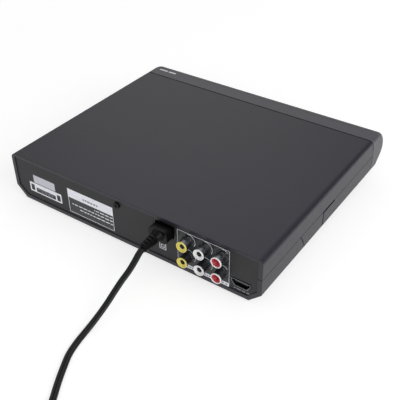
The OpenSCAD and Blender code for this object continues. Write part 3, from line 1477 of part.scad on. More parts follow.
bottom_case();
top_cover();
rear_panel();
front_bezel();
display_window();
rubber_feet();
case_screws();
disc_tray();
tray_door();
loader_chassis();
chassis_screws();
clamp_bridge();
clamper();
clamp_plate();
traverse_deck();
guide_rods();
spindle_motor();
turntable();
pickup_sled();
pickup_lens();
sled_motor();
sled_pinion();
sled_gear();
lift_slider();
loading_motor();
motor_pulley();
drive_belt();
pulley_gear();
drive_gear();
main_board();
av_jack_housing();
jack_barrels();
jack_rings_yellow();
jack_rings_white();
jack_rings_red();
hdmi_shell();
hdmi_tongue();
power_board();
transformer();
capacitors();
power_heat_sink();
mains_inlet();
inlet_pins();
front_board();
digit_display();
usb_shell();
usb_tongue();
board_screws();
loader_ribbon();
power_button();
open_button();
play_button();
stop_button();
inlet_connector();
power_cord();
cord_coil();
cord_tie();
mains_plug();
plug_pins();
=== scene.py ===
import json
import math
import random

import bpy
import bmesh
from mathutils import Matrix, Vector
from mathutils.bvhtree import BVHTree


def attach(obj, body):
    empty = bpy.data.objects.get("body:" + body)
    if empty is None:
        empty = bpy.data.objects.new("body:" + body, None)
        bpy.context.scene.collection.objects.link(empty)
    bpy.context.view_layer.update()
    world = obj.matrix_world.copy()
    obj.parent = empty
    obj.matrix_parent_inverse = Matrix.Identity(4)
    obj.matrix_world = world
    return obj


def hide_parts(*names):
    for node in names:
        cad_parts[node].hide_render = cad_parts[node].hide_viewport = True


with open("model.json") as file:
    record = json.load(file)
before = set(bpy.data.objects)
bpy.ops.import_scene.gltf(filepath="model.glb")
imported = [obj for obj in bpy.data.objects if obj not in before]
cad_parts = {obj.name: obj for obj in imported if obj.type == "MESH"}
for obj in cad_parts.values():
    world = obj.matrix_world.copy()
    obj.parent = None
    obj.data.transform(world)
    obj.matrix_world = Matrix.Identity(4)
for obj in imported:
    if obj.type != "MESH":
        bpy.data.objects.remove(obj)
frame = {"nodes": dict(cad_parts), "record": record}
nodes = frame["nodes"]
for leftover in [o for o in bpy.data.objects if o.type in {"MESH", "LIGHT", "CAMERA"}]:
    if leftover.name not in nodes:
        bpy.data.objects.remove(leftover)
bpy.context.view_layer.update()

# Lengths are in millimetres, and turn to metres where a mesh or a pattern is made.
MM = 0.001
PANEL_Y = 96.4                   # outer face of the rear panel
JACK_X = (-56.2, -70.2, -84.2)   # columns of phono sockets: yellow, white and red
JACK_Z = (16.9, 30.9)            # rows of phono sockets
FLEX_W, FLEX_T = 4.6, 2.8        # width and thickness of the twin flex

# Sockets of a Mix node by their place: its factor, then what it mixes and gives as numbers and as colours.
FACTOR = 0
NUMBER_A, NUMBER_B, NUMBER_OUT = 2, 3, 0
COLOUR_A, COLOUR_B, COLOUR_OUT = 6, 7, 2


# ---- Helpers ----

def linear(code):
    """The linear colour of an sRGB hex value."""
    parts = [int(code[i:i + 2], 16) / 255 for i in (1, 3, 5)]
    return [c / 12.92 if c <= 0.04045 else ((c + 0.055) / 1.055) ** 2.4 for c in parts] + [1.0]


def cells(width):
    """The scale at which a noise, crystal or brick pattern has cells this wide."""
    return 1000 / width


def stripes(width):
    """The scale at which a wave pattern has stripes this wide: at scale 1 they are 0.314 m."""
    return 0.314 * 1000 / width


def add(tree, kind, values=None, links=None, **settings):
    """Adds a node with its settings, its plain values and what is linked into it."""
    node = tree.nodes.new(kind)
    for name, value in settings.items():
        setattr(node, name, value)
    for name, value in (values or {}).items():
        node.inputs[name].default_value = value
    for name, source in (links or {}).items():
        tree.links.new(source, node.inputs[name])
    return node


def blank_finish(name, colour, roughness, **sockets):
    """A new material, its tree, its shader and the piece's own coordinates in metres."""
    finish = bpy.data.materials.new(name)
    finish.use_nodes = True
    tree = finish.node_tree
    shader = next(n for n in tree.nodes if n.type == "BSDF_PRINCIPLED")
    shader.inputs["Base Color"].default_value = linear(colour)
    shader.inputs["Roughness"].default_value = roughness
    for socket, value in sockets.items():
        shader.inputs[socket.replace("_", " ")].default_value = value
    place = add(tree, "ShaderNodeTexCoord").outputs["Object"]
    return finish, tree, shader, place


def give_relief(tree, shader, height, depth, edge):
    """Raises the surface by a pattern, over corners that are rounded as a mould leaves them."""
    rounded = add(tree, "ShaderNodeBevel", {"Radius": edge * MM}, samples=6)
    raised = add(tree, "ShaderNodeBump", {"Strength": 1.0, "Distance": depth * MM},
                 {"Height": height, "Normal": rounded.outputs["Normal"]})
    tree.links.new(raised.outputs["Normal"], shader.inputs["Normal"])


# ---- Finishes ----

def moulded(name, colour, flow_colour, roughness, grain_width, depth, edge, **sockets):
    """Injection-moulded plastic. The eroded steel of the mould prints a fine even grain, the melt leaves
    broad faint tones where it flowed, and handling polishes the grain unevenly."""
    finish, tree, shader, place = blank_finish(name, colour, roughness, **sockets)
    flow_width, uneven_gloss = 60, 0.05
    grain = add(tree, "ShaderNodeTexNoise", {"Scale": cells(grain_width), "Detail": 2.0, "Roughness": 0.65},
                {"Vector": place})
    flow = add(tree, "ShaderNodeTexNoise", {"Scale": cells(flow_width), "Detail": 3.0, "Distortion": 0.4},
               {"Vector": place})
    tone = add(tree, "ShaderNodeMix", {COLOUR_A: linear(colour), COLOUR_B: linear(flow_colour)},
               {FACTOR: flow.outputs["Fac"]}, data_type="RGBA")
    tree.links.new(tone.outputs[COLOUR_OUT], shader.inputs["Base Color"])
    polish = add(tree, "ShaderNodeMapRange",
                 {"From Min": 0.3, "From Max": 0.7,
                  "To Min": roughness - uneven_gloss, "To Max": roughness + uneven_gloss},
                 {"Value": grain.outputs["Fac"]})
    tree.links.new(polish.outputs["Result"], shader.inputs["Roughness"])
    give_relief(tree, shader, grain.outputs["Fac"], depth, edge)
    return finish


def turned_metal(name, colour, roughness, line_width, depth, edge):
    """Plated metal that was turned or drawn about the front-to-back axis: fine rings round it, with a
    plating that follows them and is a little uneven."""
    finish, tree, shader, place = blank_finish(name, colour, roughness, Metallic=1.0)
    plating_patch = 2.5
    rings = add(tree, "ShaderNodeTexWave", {"Scale": stripes(line_width), "Distortion": 0.6},
                {"Vector": place}, wave_type="BANDS", bands_direction="Y")
    plating = add(tree, "ShaderNodeTexNoise", {"Scale": cells(plating_patch), "Detail": 2.0},
                  {"Vector": place})
    gloss = add(tree, "ShaderNodeMapRange", {"To Min": roughness - 0.08, "To Max": roughness + 0.1},
                {"Value": plating.outputs["Fac"]})
    tree.links.new(gloss.outputs["Result"], shader.inputs["Roughness"])
    give_relief(tree, shader, rings.outputs["Fac"], depth, edge)
    return finish


def drawn_sheet(name, colour, worn_colour, roughness, streak_width, edge):
    """Rolled sheet or extrusion: long faint streaks one way from the rolls or the die, and small
    differences in how bright they are."""
    finish, tree, shader, place = blank_finish(name, colour, roughness, Metallic=1.0)
    streak_depth, uneven_gloss = 0.004, 0.08
    long_way = add(tree, "ShaderNodeMapping", {"Scale": (1.0, 0.04, 1.0)}, {"Vector": place})
    streaks = add(tree, "ShaderNodeTexNoise", {"Scale": cells(streak_width), "Detail": 3.0},
                  {"Vector": long_way.outputs["Vector"]})
    tone = add(tree, "ShaderNodeMix", {COLOUR_A: linear(colour), COLOUR_B: linear(worn_colour)},
               {FACTOR: streaks.outputs["Fac"]}, data_type="RGBA")
    tree.links.new(tone.outputs[COLOUR_OUT], shader.inputs["Base Color"])
    gloss = add(tree, "ShaderNodeMapRange",
                {"To Min": roughness - uneven_gloss, "To Max": roughness + uneven_gloss},
                {"Value": streaks.outputs["Fac"]})
    tree.links.new(gloss.outputs["Result"], shader.inputs["Roughness"])
    give_relief(tree, shader, streaks.outputs["Fac"], streak_depth, edge)
    return finish


def zinc_plate():
    """Zinc-plated steel: the zinc freezes in flat crystals about 4 mm wide, each with its own grey."""
    finish, tree, shader, place = blank_finish("zinc_plated_steel", "#b6bbc0", 0.36, Metallic=1.0)
    crystals = add(tree, "ShaderNodeTexVoronoi", {"Scale": cells(4)}, {"Vector": place})
    tone = add(tree, "ShaderNodeMix", {COLOUR_A: linear("#c2c7cb"), COLOUR_B: linear("#9da3a9")},
               {FACTOR: crystals.outputs["Distance"]}, data_type="RGBA")
    tree.links.new(tone.outputs[COLOUR_OUT], shader.inputs["Base Color"])
    gloss = add(tree, "ShaderNodeMapRange", {"To Min": 0.28, "To Max": 0.45},
                {"Value": crystals.outputs["Distance"]})
    tree.links.new(gloss.outputs["Result"], shader.inputs["Roughness"])
    give_relief(tree, shader, crystals.outputs["Distance"], depth=0.006, edge=0.15)
    return finish


def solder_mask_board():
    """Glass-epoxy board under green solder mask: copper tracks show as paler lines 9 mm apart, and the
    mask is glossy with a slight ripple."""
    finish, tree, shader, place = blank_finish("green_solder_mask", "#1f5130", 0.3)
    tracks = add(tree, "ShaderNodeTexBrick",
                 {"Scale": cells(9), "Mortar Size": 0.055, "Mortar Smooth": 0.1, "Bias": -0.2,
                  "Color1": linear("#1c4a2c"), "Color2": linear("#22573a"), "Mortar": linear("#39764c")},
                 {"Vector": place})
    tree.links.new(tracks.outputs["Color"], shader.inputs["Base Color"])
    give_relief(tree, shader, tracks.outputs["Fac"], depth=0.03, edge=0.1)
    return finish


def winding_tape():
    """Polyester tape over the ferrite core: amber film in laps 3 mm wide, shiny, with a step at each lap."""
    finish, tree, shader, place = blank_finish("amber_winding_tape", "#c89a34", 0.28)
    laps = add(tree, "ShaderNodeTexWave", {"Scale": stripes(3), "Distortion": 0.3}, {"Vector": place},
               wave_type="BANDS", bands_direction="Z", wave_profile="SAW")
    tone = add(tree, "ShaderNodeMix", {COLOUR_A: linear("#b98a28"), COLOUR_B: linear("#d9b04c")},
               {FACTOR: laps.outputs["Fac"]}, data_type="RGBA")
    tree.links.new(tone.outputs[COLOUR_OUT], shader.inputs["Base Color"])
    give_relief(tree, shader, laps.outputs["Fac"], depth=0.05, edge=0.2)
    return finish


def capacitor_sleeve():
    """Shrunk sleeve on aluminium cans: dark blue-black film, wavy where it shrank, and bare bright
    metal on the flat tops."""
    finish, tree, shader, place = blank_finish("shrunk_can_sleeve", "#1c2330", 0.3)
    waves = add(tree, "ShaderNodeTexNoise", {"Scale": cells(3), "Detail": 1.0}, {"Vector": place})
    facing = add(tree, "ShaderNodeSeparateXYZ", None,
                 {"Vector": add(tree, "ShaderNodeNewGeometry").outputs["Normal"]})
    top = add(tree, "ShaderNodeMath", {1: 0.9}, {0: facing.outputs["Z"]}, operation="GREATER_THAN")
    tone = add(tree, "ShaderNodeMix", {COLOUR_A: linear("#1c2330"), COLOUR_B: linear("#c9ccd0")},
               {FACTOR: top.outputs["Value"]}, data_type="RGBA")
    tree.links.new(tone.outputs[COLOUR_OUT], shader.inputs["Base Color"])
    tree.links.new(top.outputs["Value"], shader.inputs["Metallic"])
    give_relief(tree, shader, waves.outputs["Fac"], depth=0.04, edge=0.2)
    return finish


def clear_moulding(name, colour, roughness, ripple_width, **sockets):
    """Polished clear plastic or glass: glossy, with the slight ripple that the mould or the glaze leaves."""
    finish, tree, shader, place = blank_finish(name, colour, roughness, **sockets)
    ripple = add(tree, "ShaderNodeTexNoise", {"Scale": cells(ripple_width), "Detail": 0.0},
                 {"Vector": place})
    give_relief(tree, shader, ripple.outputs["Fac"], depth=0.01, edge=0.3)
    return finish


def printed_ink(name, colour, roughness):
    """Screen-printed ink or the face of a label: flat and dull, a shade thinner in some places, with the
    mesh of the screen in it, drawn at 0.5 mm because the real 0.1 mm would not show."""
    finish, tree, shader, place = blank_finish(name, colour, roughness)
    patch_width, mesh_width, thin_ink = 4, 0.5, 0.86
    cover = add(tree, "ShaderNodeTexNoise", {"Scale": cells(patch_width), "Detail": 3.0}, {"Vector": place})
    thin = [c * thin_ink for c in linear(colour)[:3]] + [1.0]
    tone = add(tree, "ShaderNodeMix", {COLOUR_A: linear(colour), COLOUR_B: thin},
               {FACTOR: cover.outputs["Fac"]}, data_type="RGBA")
    tree.links.new(tone.outputs[COLOUR_OUT], shader.inputs["Base Color"])
    mesh = add(tree, "ShaderNodeTexNoise", {"Scale": cells(mesh_width), "Detail": 0.0}, {"Vector": place})
    give_relief(tree, shader, mesh.outputs["Fac"], depth=0.003, edge=0.05)
    return finish


# Moulded plastics give their colour, the tone where they flowed, roughness, and the width of the grain,
# its depth and the radius of the corners. Spark-eroded steel has a grain near 0.05 mm. It is drawn ten
# times as coarse or more, so that it shows.
FINISH = {
    # The cover and the case: satin black with a cool cast, and an even grain that scatters highlights.
    "case_plastic": moulded("spark_eroded_case_abs", "#171420", "#1c1926", 0.44, 0.9, 0.012, 0.45),
    # The rear panel's finer grain is duller and more neutral than the cover's.
    "rear_plastic": moulded("fine_grained_rear_abs", "#272729", "#2c2c2e", 0.55, 0.7, 0.01, 0.25,
                            Specular_IOR_Level=0.3),
    # The tray is nearly smooth, so that discs slide on it, and has a soft satin gleam.
    "tray_plastic": moulded("satin_tray_abs", "#1b1b1e", "#212124", 0.4, 0.6, 0.006, 0.25),
    # The chassis comes from a rough working mould, and looks flat and grey-black.
    "chassis_plastic": moulded("dull_chassis_abs", "#202023", "#27272a", 0.6, 0.9, 0.015, 0.2),
    # Acetal is waxy and slightly see-through, so it looks soft and creamy.
    "white_plastic": moulded("natural_acetal", "#e2dfd5", "#dad7cc", 0.4, 1.0, 0.004, 0.12),
    # Socket bodies are glass-filled PBT: black, with a fine glassy sparkle of fibres near the surface.
    "socket_black": moulded("glass_filled_socket_pbt", "#111113", "#18181a", 0.42, 0.5, 0.01, 0.12),
    # The rings of the phono sockets come smooth and full-coloured from small polished moulds.
    "yellow_plastic": moulded("yellow_jack_pbt", "#e2d470", "#d8cb62", 0.34, 0.5, 0.003, 0.2),
    "ring_white": moulded("white_jack_pbt", "#e6e6e6", "#dcdcde", 0.34, 0.5, 0.003, 0.2),
    "red_plastic": moulded("red_jack_pbt", "#b0102a", "#a00d26", 0.34, 0.5, 0.003, 0.2),
    # The lead's PVC is extruded and leaves the die smooth. The plug's PVC is moulded over, and duller.
    "cable_vinyl": moulded("extruded_flex_pvc", "#131314", "#18181a", 0.34, 1.6, 0.01, 0.1,
                           Specular_IOR_Level=0.3),
    "plug_vinyl": moulded("overmoulded_plug_pvc", "#040404", "#070708", 0.38, 0.6, 0.015, 0.3,
                          Specular_IOR_Level=0.18),
    # EPDM feet and the belt are matt, with a bloom that takes the gloss off.
    "foot_rubber": moulded("matt_epdm_foot", "#171718", "#1f1f20", 0.85, 0.5, 0.02, 0.3),
    "belt_rubber": moulded("ground_belt_rubber", "#121212", "#1b1b1b", 0.8, 0.4, 0.02, 0.1),
    # The ribbon's polyester film is calendered, white and evenly shiny.
    "ribbon_film": moulded("white_ribbon_polyester", "#e2e2de", "#d6d6d4", 0.35, 1.0, 0.004, 0.05),
    # Turned metals give their colour, roughness, and the width of the tool's lines, their depth and the
    # corners. Passivated steel is dull black, black nickel a dark mirror, and nickel on brass is warm.
    "screw_steel": turned_metal("black_passivated_screw", "#2b2b2e", 0.42, 0.4, 0.01, 0.12),
    "barrel_metal": turned_metal("black_nickel_barrel", "#88898f", 0.28, 0.45, 0.006, 0.1),
    "pin_brass": turned_metal("nickel_plated_brass", "#cfc8b4", 0.24, 0.5, 0.003, 0.1),
    # The shells of the flat sockets are folded from plated strip, and the heat sink is extruded. Both
    # show soft streaks along their length.
    "shell_metal": drawn_sheet("nickel_plated_shell", "#85878d", "#6a6c72", 0.3, 0.4, 0.1),
    "sink_aluminium": drawn_sheet("extruded_aluminium", "#a9adb1", "#959a9f", 0.42, 0.5, 0.15),
    "plated_steel": zinc_plate(),
    "board_laminate": solder_mask_board(),
    "winding_tape": winding_tape(),
    "can_sleeve": capacitor_sleeve(),
    # Smoked acrylic is nearly black until light falls through it.
    "window_plastic": clear_moulding("smoked_window_acrylic", "#101216", 0.07, 9,
                                     Transmission_Weight=0.35, IOR=1.49),
    # Display glass over its dark filter gives a clean blue-grey gleam.
    "display_glass": clear_moulding("dark_display_glass", "#1a2023", 0.12, 6, IOR=1.52),
    # The lens has a blue coating that shows at its edge.
    "lens_glass": clear_moulding("coated_lens_glass", "#8fa6c8", 0.04, 3,
                                 Transmission_Weight=0.7, IOR=1.55),
}
# The bezel comes from a mould of its own, with a finer and paler grain than the case.
BEZEL_FINISH = moulded("fine_grained_bezel_abs", "#454349", "#4b494f", 0.5, 0.7, 0.01, 0.45)

# Label films are smooth and catch a little light. Inks lie duller on them.
LABEL_FILM = printed_ink("white_polyester_label", "#e9eaf2", 0.42)
AGED_FILM = printed_ink("greyed_label_film", "#c3c4cd", 0.45)
BLACK_FILM = printed_ink("black_vinyl_label", "#1c1c1f", 0.38)
WHITE_INK = printed_ink("white_screen_ink", "#e2e3e8", 0.5)
GREY_INK = printed_ink("grey_label_ink", "#85868f", 0.5)
BLACK_INK = printed_ink("black_label_ink", "#17171a", 0.5)

for part in frame["record"]["subparts"]:
    skin = nodes[part["node"]].data
    skin.materials.clear()
    skin.materials.append(BEZEL_FINISH if part["node"] == "front_bezel" else FINISH[part["material_slot"]])


# ---- Camera ----

camera = bpy.data.objects.new("rear_corner_camera", bpy.data.cameras.new("rear_corner_camera"))
camera.data.sensor_width = 36
camera.data.lens = 60.98
camera.data.clip_start = 0.01
right = Vector((-0.8229, -0.5681, -0.0097))
upward = Vector((0.3328, -0.4957, 0.8022))
forward = Vector((0.4606, -0.6569, -0.5969))
turn = Matrix((right, upward, -forward)).transposed().to_4x4()
camera.matrix_world = Matrix.Translation((-0.2662, 0.3817, 0.3288)) @ turn
bpy.context.scene.collection.objects.link(camera)
bpy.context.scene.camera = camera


# ---- Making pieces ----

def finished(name, form, skin, body="player", smooth=False):
    """Turns a worked form into a piece with its finish, on the body that it rides on."""
    bmesh.ops.recalc_face_normals(form, faces=form.faces)
    mesh = bpy.data.meshes.new(name)
    form.to_mesh(mesh)
    form.free()
    for face in mesh.polygons:
        face.use_smooth = smooth
    mesh.materials.append(skin)
    piece = bpy.data.objects.new(name, mesh)
    bpy.context.scene.collection.objects.link(piece)
    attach(piece, body)
    return piece


def swept(name, points, outline, skin):
    """A closed tube that carries an outline, kept level across, along points."""
    form = bmesh.new()
    rings = []
    for i, p in enumerate(points):
        along = (points[min(i + 1, len(points) - 1)] - points[max(i - 1, 0)]).normalized()
        across = along.cross(Vector((0, 0, 1))).normalized()
        rise = across.cross(along)
        rings.append([form.verts.new((p + across * x + rise * z) * MM) for x, z in outline])
    for low, high in zip(rings, rings[1:]):
        for k in range(len(outline)):
            n = (k + 1) % len(outline)
            form.faces.new((low[k], low[n], high[n], high[k]))
    form.faces.new(rings[0][::-1])
    form.faces.new(rings[-1])
    return finished(name, form, skin, smooth=True)


# How a flat sheet stands on each side: where its u, its v and its outward side point.
SIDES = {
    "rear": (Vector((1, 0, 0)), Vector((0, 0, 1)), Vector((0, 1, 0))),
    "front": (Vector((1, 0, 0)), Vector((0, 0, 1)), Vector((0, -1, 0))),
    "top": (Vector((1, 0, 0)), Vector((0, 1, 0)), Vector((0, 0, 1))),
}


def cut_sheet(name, outlines):
    """A flat sheet cut to outlines, where an outline inside another is a hole."""
    cut = bpy.data.curves.new(name + "_cut", "CURVE")
    cut.dimensions = "2D"
    cut.fill_mode = "BOTH"
    for outline in outlines:
        edge = cut.splines.new("POLY")
        edge.points.add(len(outline) - 1)
        for point, (u, v) in zip(edge.points, outline):
            point.co = (u, v, 0, 1)
        edge.use_cyclic_u = True
    pattern = bpy.data.objects.new(name + "_cut", cut)
    bpy.context.scene.collection.objects.link(pattern)
    bpy.context.view_layer.update()
    flat = bpy.data.meshes.new_from_object(pattern.evaluated_get(bpy.context.evaluated_depsgraph_get()))
    form = bmesh.new()
    form.from_mesh(flat)
    bpy.data.objects.remove(pattern)
    bpy.data.curves.remove(cut)
    bpy.data.meshes.remove(flat)
    bmesh.ops.remove_doubles(form, verts=form.verts, dist=1e-4)
    return form


def laid_sheet(name, outlines, thick, level, skin, side="rear", onto=None, body="player"):
    """A thin sheet laid on a face at level, or draped onto a node whose face is curved."""
    form = cut_sheet(name, outlines)
    out = bmesh.ops.extrude_face_region(form, geom=form.faces[:])
    raised = {v for v in out["geom"] if isinstance(v, bmesh.types.BMVert)}
    across, upwards, outwards = SIDES[side]
    well_outside = outwards * 300
    surface = None
    if onto:
        surface = BVHTree.FromObject(nodes[onto], bpy.context.evaluated_depsgraph_get())
    for v in form.verts:
        place = across * v.co.x + upwards * v.co.y
        height = level
        if surface:
            hit = surface.ray_cast((place + well_outside) * MM, -outwards)[0]
            if hit:
                height = hit.dot(outwards) / MM
        v.co = (place + outwards * (height + (thick if v in raised else 0))) * MM
    return finished(name, form, skin, body)


def lathe(form, x, z, section, steps):
    """Turns a closed section of (radius, y) points about a front-to-back axis."""
    turns = []
    for k in range(steps):
        a = math.tau * k / steps
        turns.append([form.verts.new(Vector((x + r * math.cos(a), y, z + r * math.sin(a))) * MM)
                      for r, y in section])
    for here, after in zip(turns, turns[1:] + turns[:1]):
        for i in range(len(section)):
            n = (i + 1) % len(section)
            form.faces.new((here[i], here[n], after[n], after[i]))


# ---- The mains lead ----

# Route of the flex down from its relief and along the table, as the solids have it.
LEAD = [
    (-35.7, 121.4, 31.1), (-36.2, 125.4, 30.4), (-37, 131, 28.2), (-37.4, 138, 25), (-37, 146, 21.4),
    (-36.4, 153, 17), (-35.6, 160, 12), (-34.4, 167, 7.2), (-33.6, 174, 3.6), (-33.6, 181, 1.8),
    (-34.8, 189, 1.6), (-37.4, 199, 1.6), (-42, 209, 1.6), (-47.2, 219, 1.6), (-53, 229, 1.6),
    (-59, 239.4, 1.6), (-65.4, 250.4, 1.6), (-72, 261.6, 1.8), (-78.8, 273.2, 2.2),
]
COIL_MIDDLE = (-108, 256)
OUTER_TURN, NEXT_TURN = 33.9, 5.3           # radius of the outer turns, and how far in the next one lies
LOWER_LAYER, NEXT_LAYER = 2.25, 3.2         # height of the lower turns, and how far up the others lie
COIL_START, CLIMB_END, COIL_END = 30.7, 960.7, 1925.0    # degrees turned
PLUG_START = Vector((-137.36, 272.95, 6.65))
PLUG_HEADING = math.radians(216)


def eased(a, start, end):
    """0 before start, 1 after end and smooth between."""
    t = min(max((a - start) / (end - start), 0), 1)
    return t * t * (3 - 2 * t)


def route_points():
    """A smooth line through the points of the route, four steps from each to the next."""
    points = []
    for i in range(len(LEAD) - 1):
        before, start = Vector(LEAD[max(i - 1, 0)]), Vector(LEAD[i])
        end, after = Vector(LEAD[i + 1]), Vector(LEAD[min(i + 2, len(LEAD) - 1)])
        for k in range(4):
            t = k / 4
            points.append(0.5 * (2 * start + (end - before) * t + (2 * before - 5 * start + 4 * end - after)
                                 * t * t + (3 * start - before - 3 * end + after) * t ** 3))
    return points


def coil_points():
    """Three turns wound inwards on the table, and three wound outwards on top of them. Each turn is
    round, and eases into the next over 150 degrees."""
    points = []
    step = 5
    for k in range(int((COIL_END - COIL_START) / step) + 1):
        a = COIL_START + step * k
        inward = (eased(a, COIL_START + 210, COIL_START + 360)
                  + eased(a, COIL_START + 570, COIL_START + 720))
        outward = (eased(a, CLIMB_END + 120, CLIMB_END + 270)
                   + eased(a, CLIMB_END + 480, CLIMB_END + 630))
        r = OUTER_TURN - NEXT_TURN * inward + NEXT_TURN * outward
        z = LOWER_LAYER + NEXT_LAYER * eased(a, CLIMB_END - 90, CLIMB_END)
        points.append(Vector((COIL_MIDDLE[0] + r * math.cos(math.radians(a)),
                              COIL_MIDDLE[1] + r * math.sin(math.radians(a)), z)))
    return points


def plug_points(start, leaving):
    """The bend off the coil and into the plug."""
    arriving = Vector((math.cos(PLUG_HEADING), math.sin(PLUG_HEADING), 0))
    reach = 0.9 * (PLUG_START - start).length
    points = []
    for k in range(1, 7):
        t = k / 6
        points.append((2 * t ** 3 - 3 * t * t + 1) * start + (t ** 3 - 2 * t * t + t) * reach * leaving
                      + (3 * t * t - 2 * t ** 3) * PLUG_START + (t ** 3 - t * t) * reach * arriving)
    return points


def flex_section():
    """Outline of the twin flex: two round cores side by side with a waist between them."""
    core = FLEX_T / 2
    apart = FLEX_W / 2 - core
    waist = math.acos(-apart / core)
    outline = []
    for side in (1, -1):
        for k in range(11):
            a = side * (-waist + 2 * waist * k / 10)
            x, z = side * (apart + core * math.cos(a)), core * math.sin(a) * side
            outline.append((x, z))
    return outline


lead = route_points() + coil_points()
lead += plug_points(lead[-1], (lead[-1] - lead[-2]).normalized())
flex = swept("mains_flex", lead, flex_section(), FINISH["cable_vinyl"])
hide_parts("power_cord", "cord_coil")


# ---- Outlines of prints ----

def bar(u0, v0, u1, v1, corner=0.0):
    """Outline of an upright rectangle, with rounded corners if they are asked for."""
    if not corner:
        return [(u0, v0), (u1, v0), (u1, v1), (u0, v1)]
    outline = []
    for cu, cv, a0 in ((u1 - corner, v0 + corner, 270), (u1 - corner, v1 - corner, 0),
                       (u0 + corner, v1 - corner, 90), (u0 + corner, v0 + corner, 180)):
        for k in range(5):
            a = math.radians(a0 + 22.5 * k)
            outline.append((cu + corner * math.cos(a), cv + corner * math.sin(a)))
    return outline


def round_outline(cu, cv, r, steps=40):
    return [(cu + r * math.cos(math.tau * k / steps), cv + r * math.sin(math.tau * k / steps))
            for k in range(steps)]


def arc_band(cu, cv, r0, r1, a0, a1, steps=16):
    """Outline of part of a ring between two angles."""
    angles = [math.radians(a0 + (a1 - a0) * k / steps) for k in range(steps + 1)]
    return ([(cu + r1 * math.cos(a), cv + r1 * math.sin(a)) for a in angles]
            + [(cu + r0 * math.cos(a), cv + r0 * math.sin(a)) for a in reversed(angles)])


def frame_lines(u0, v0, u1, v1, line):
    """A rectangle drawn as a line: its outline and the hole inside it."""
    return [bar(u0, v0, u1, v1), bar(u0 + line, v0 + line, u1 - line, v1 - line)]


def printed_words(u0, u1, v, height, seed, word=(1.6, 4.6), gap=0.9):
    """A line of print seen from too far to read: short bars for the words."""
    spread = random.Random(seed)
    words, u = [], u0
    while u < u1 - word[0] * 0.5:
        end = min(u + spread.uniform(*word), u1)
        words.append(bar(u, v - height / 2, end, v + height / 2))
        u = end + gap
    return words


# ---- Labels and prints on the rear panel ----

FILM, INK = 0.1, 0.03            # thickness of a sticker, and of a print on it
JACK_FILM, JACK_INK = 0.08, 0.02    # the same for the label under the phono sockets


def on_rear(name, outlines, over, thick, skin):
    """Lays a film or a print on the rear panel, at a height over it."""
    laid_sheet(name, outlines, thick, PANEL_Y + over, skin)


def rating_stickers():
    """The small grey sticker and the white one under it, with a dark field between two dark blocks."""
    on_rear("batch_sticker", [bar(71, 20.7, 94, 28, 0.4)], 0, FILM, AGED_FILM)
    on_rear("rating_sticker", [bar(65, 11.3, 99.4, 20, 0.4)], 0, FILM, LABEL_FILM)
    on_rear("rating_sticker_field", [bar(71.5, 12.3, 92.5, 16.4)], FILM, INK, BLACK_INK)
    blocks = [bar(66.3, 12.6, 70, 18.2), bar(94.3, 12.6, 98, 18.2)]
    on_rear("rating_sticker_blocks", blocks, FILM, INK, BLACK_INK)
    words = printed_words(73, 91, 15.2, 0.7, 3) + printed_words(75, 88, 13.6, 0.7, 4)
    on_rear("rating_sticker_words", words, FILM + INK, INK, GREY_INK)


def spec_label():
    """The black label with a white head, a white line round it and three lines of print."""
    edge = (12, 8, 57.2, 30)
    on_rear("spec_label", [bar(*edge, 0.4)], 0, FILM, BLACK_FILM)
    on_rear("spec_label_band", [bar(12.1, 22, 57.1, 29.9, 0.4)], FILM, INK, LABEL_FILM)
    on_rear("spec_label_line", frame_lines(*edge, 0.45), FILM, 0.035, WHITE_INK)
    words = (printed_words(12.9, 31, 19.6, 0.9, 11) + printed_words(12.9, 53.6, 16.6, 0.9, 12)
             + printed_words(12.9, 46, 13.4, 0.9, 13))
    on_rear("spec_label_words", words, FILM, INK, WHITE_INK)
    on_rear("spec_label_heading", printed_words(27, 43, 25, 1.6, 14, (1.2, 2.6), 0.7), FILM + INK, INK,
            GREY_INK)


def jack_label():
    """The black label round the phono sockets, with a thin frame, a white foot and an arc beside each
    socket. The arcs by the last column stop at the frame."""
    holes = [round_outline(x, z, 5.15) for x in JACK_X for z in JACK_Z]
    on_rear("jack_label", [bar(-89.6, 5.2, -46.6, 37.2, 0.5)] + holes, 0, JACK_FILM, BLACK_FILM)
    on_rear("jack_label_frame", frame_lines(-89.5, 5.3, -46.7, 37.1, 0.3), JACK_FILM, INK, WHITE_INK)
    arcs = [arc_band(x, z, 5.3, 5.7, 80, 135 if x == JACK_X[2] else 215) for x in JACK_X for z in JACK_Z]
    on_rear("jack_label_arcs", arcs, JACK_FILM, 0.025, WHITE_INK)
    on_rear("jack_label_band", [bar(-89.2, 5.6, -49, 8.6)], JACK_FILM, JACK_INK, LABEL_FILM)
    words = [w for x in JACK_X for w in printed_words(x - 4, x + 4, 7, 0.9, 20 + int(-x), (1, 2.2), 0.6)]
    on_rear("jack_label_words", words, JACK_FILM + JACK_INK, JACK_INK, GREY_INK)


def socket_prints():
    """The line of print under the video socket, and the double square under the mains socket."""
    thick = 0.04
    on_rear("video_socket_words", printed_words(-105.6, -93.4, 7.4, 0.9, 31, (2.2, 5), 1), 0, thick,
            GREY_INK)
    mark = frame_lines(-36.4, 12.4, -30.4, 18.4, 0.6) + frame_lines(-34.9, 13.9, -31.9, 16.9, 0.5)
    on_rear("mains_socket_mark", mark + [bar(-37, 19.4, -30, 20.3)], 0, thick, WHITE_INK)


# ---- Phono sockets ----

def turned_in_sockets(name, columns, section, steps, slot):
    """Turns a section in each phono socket of some columns, as one piece."""
    form = bmesh.new()
    for x in columns:
        for z in JACK_Z:
            lathe(form, x, z, section, steps)
    finished(name, form, FINISH[slot], smooth=True)


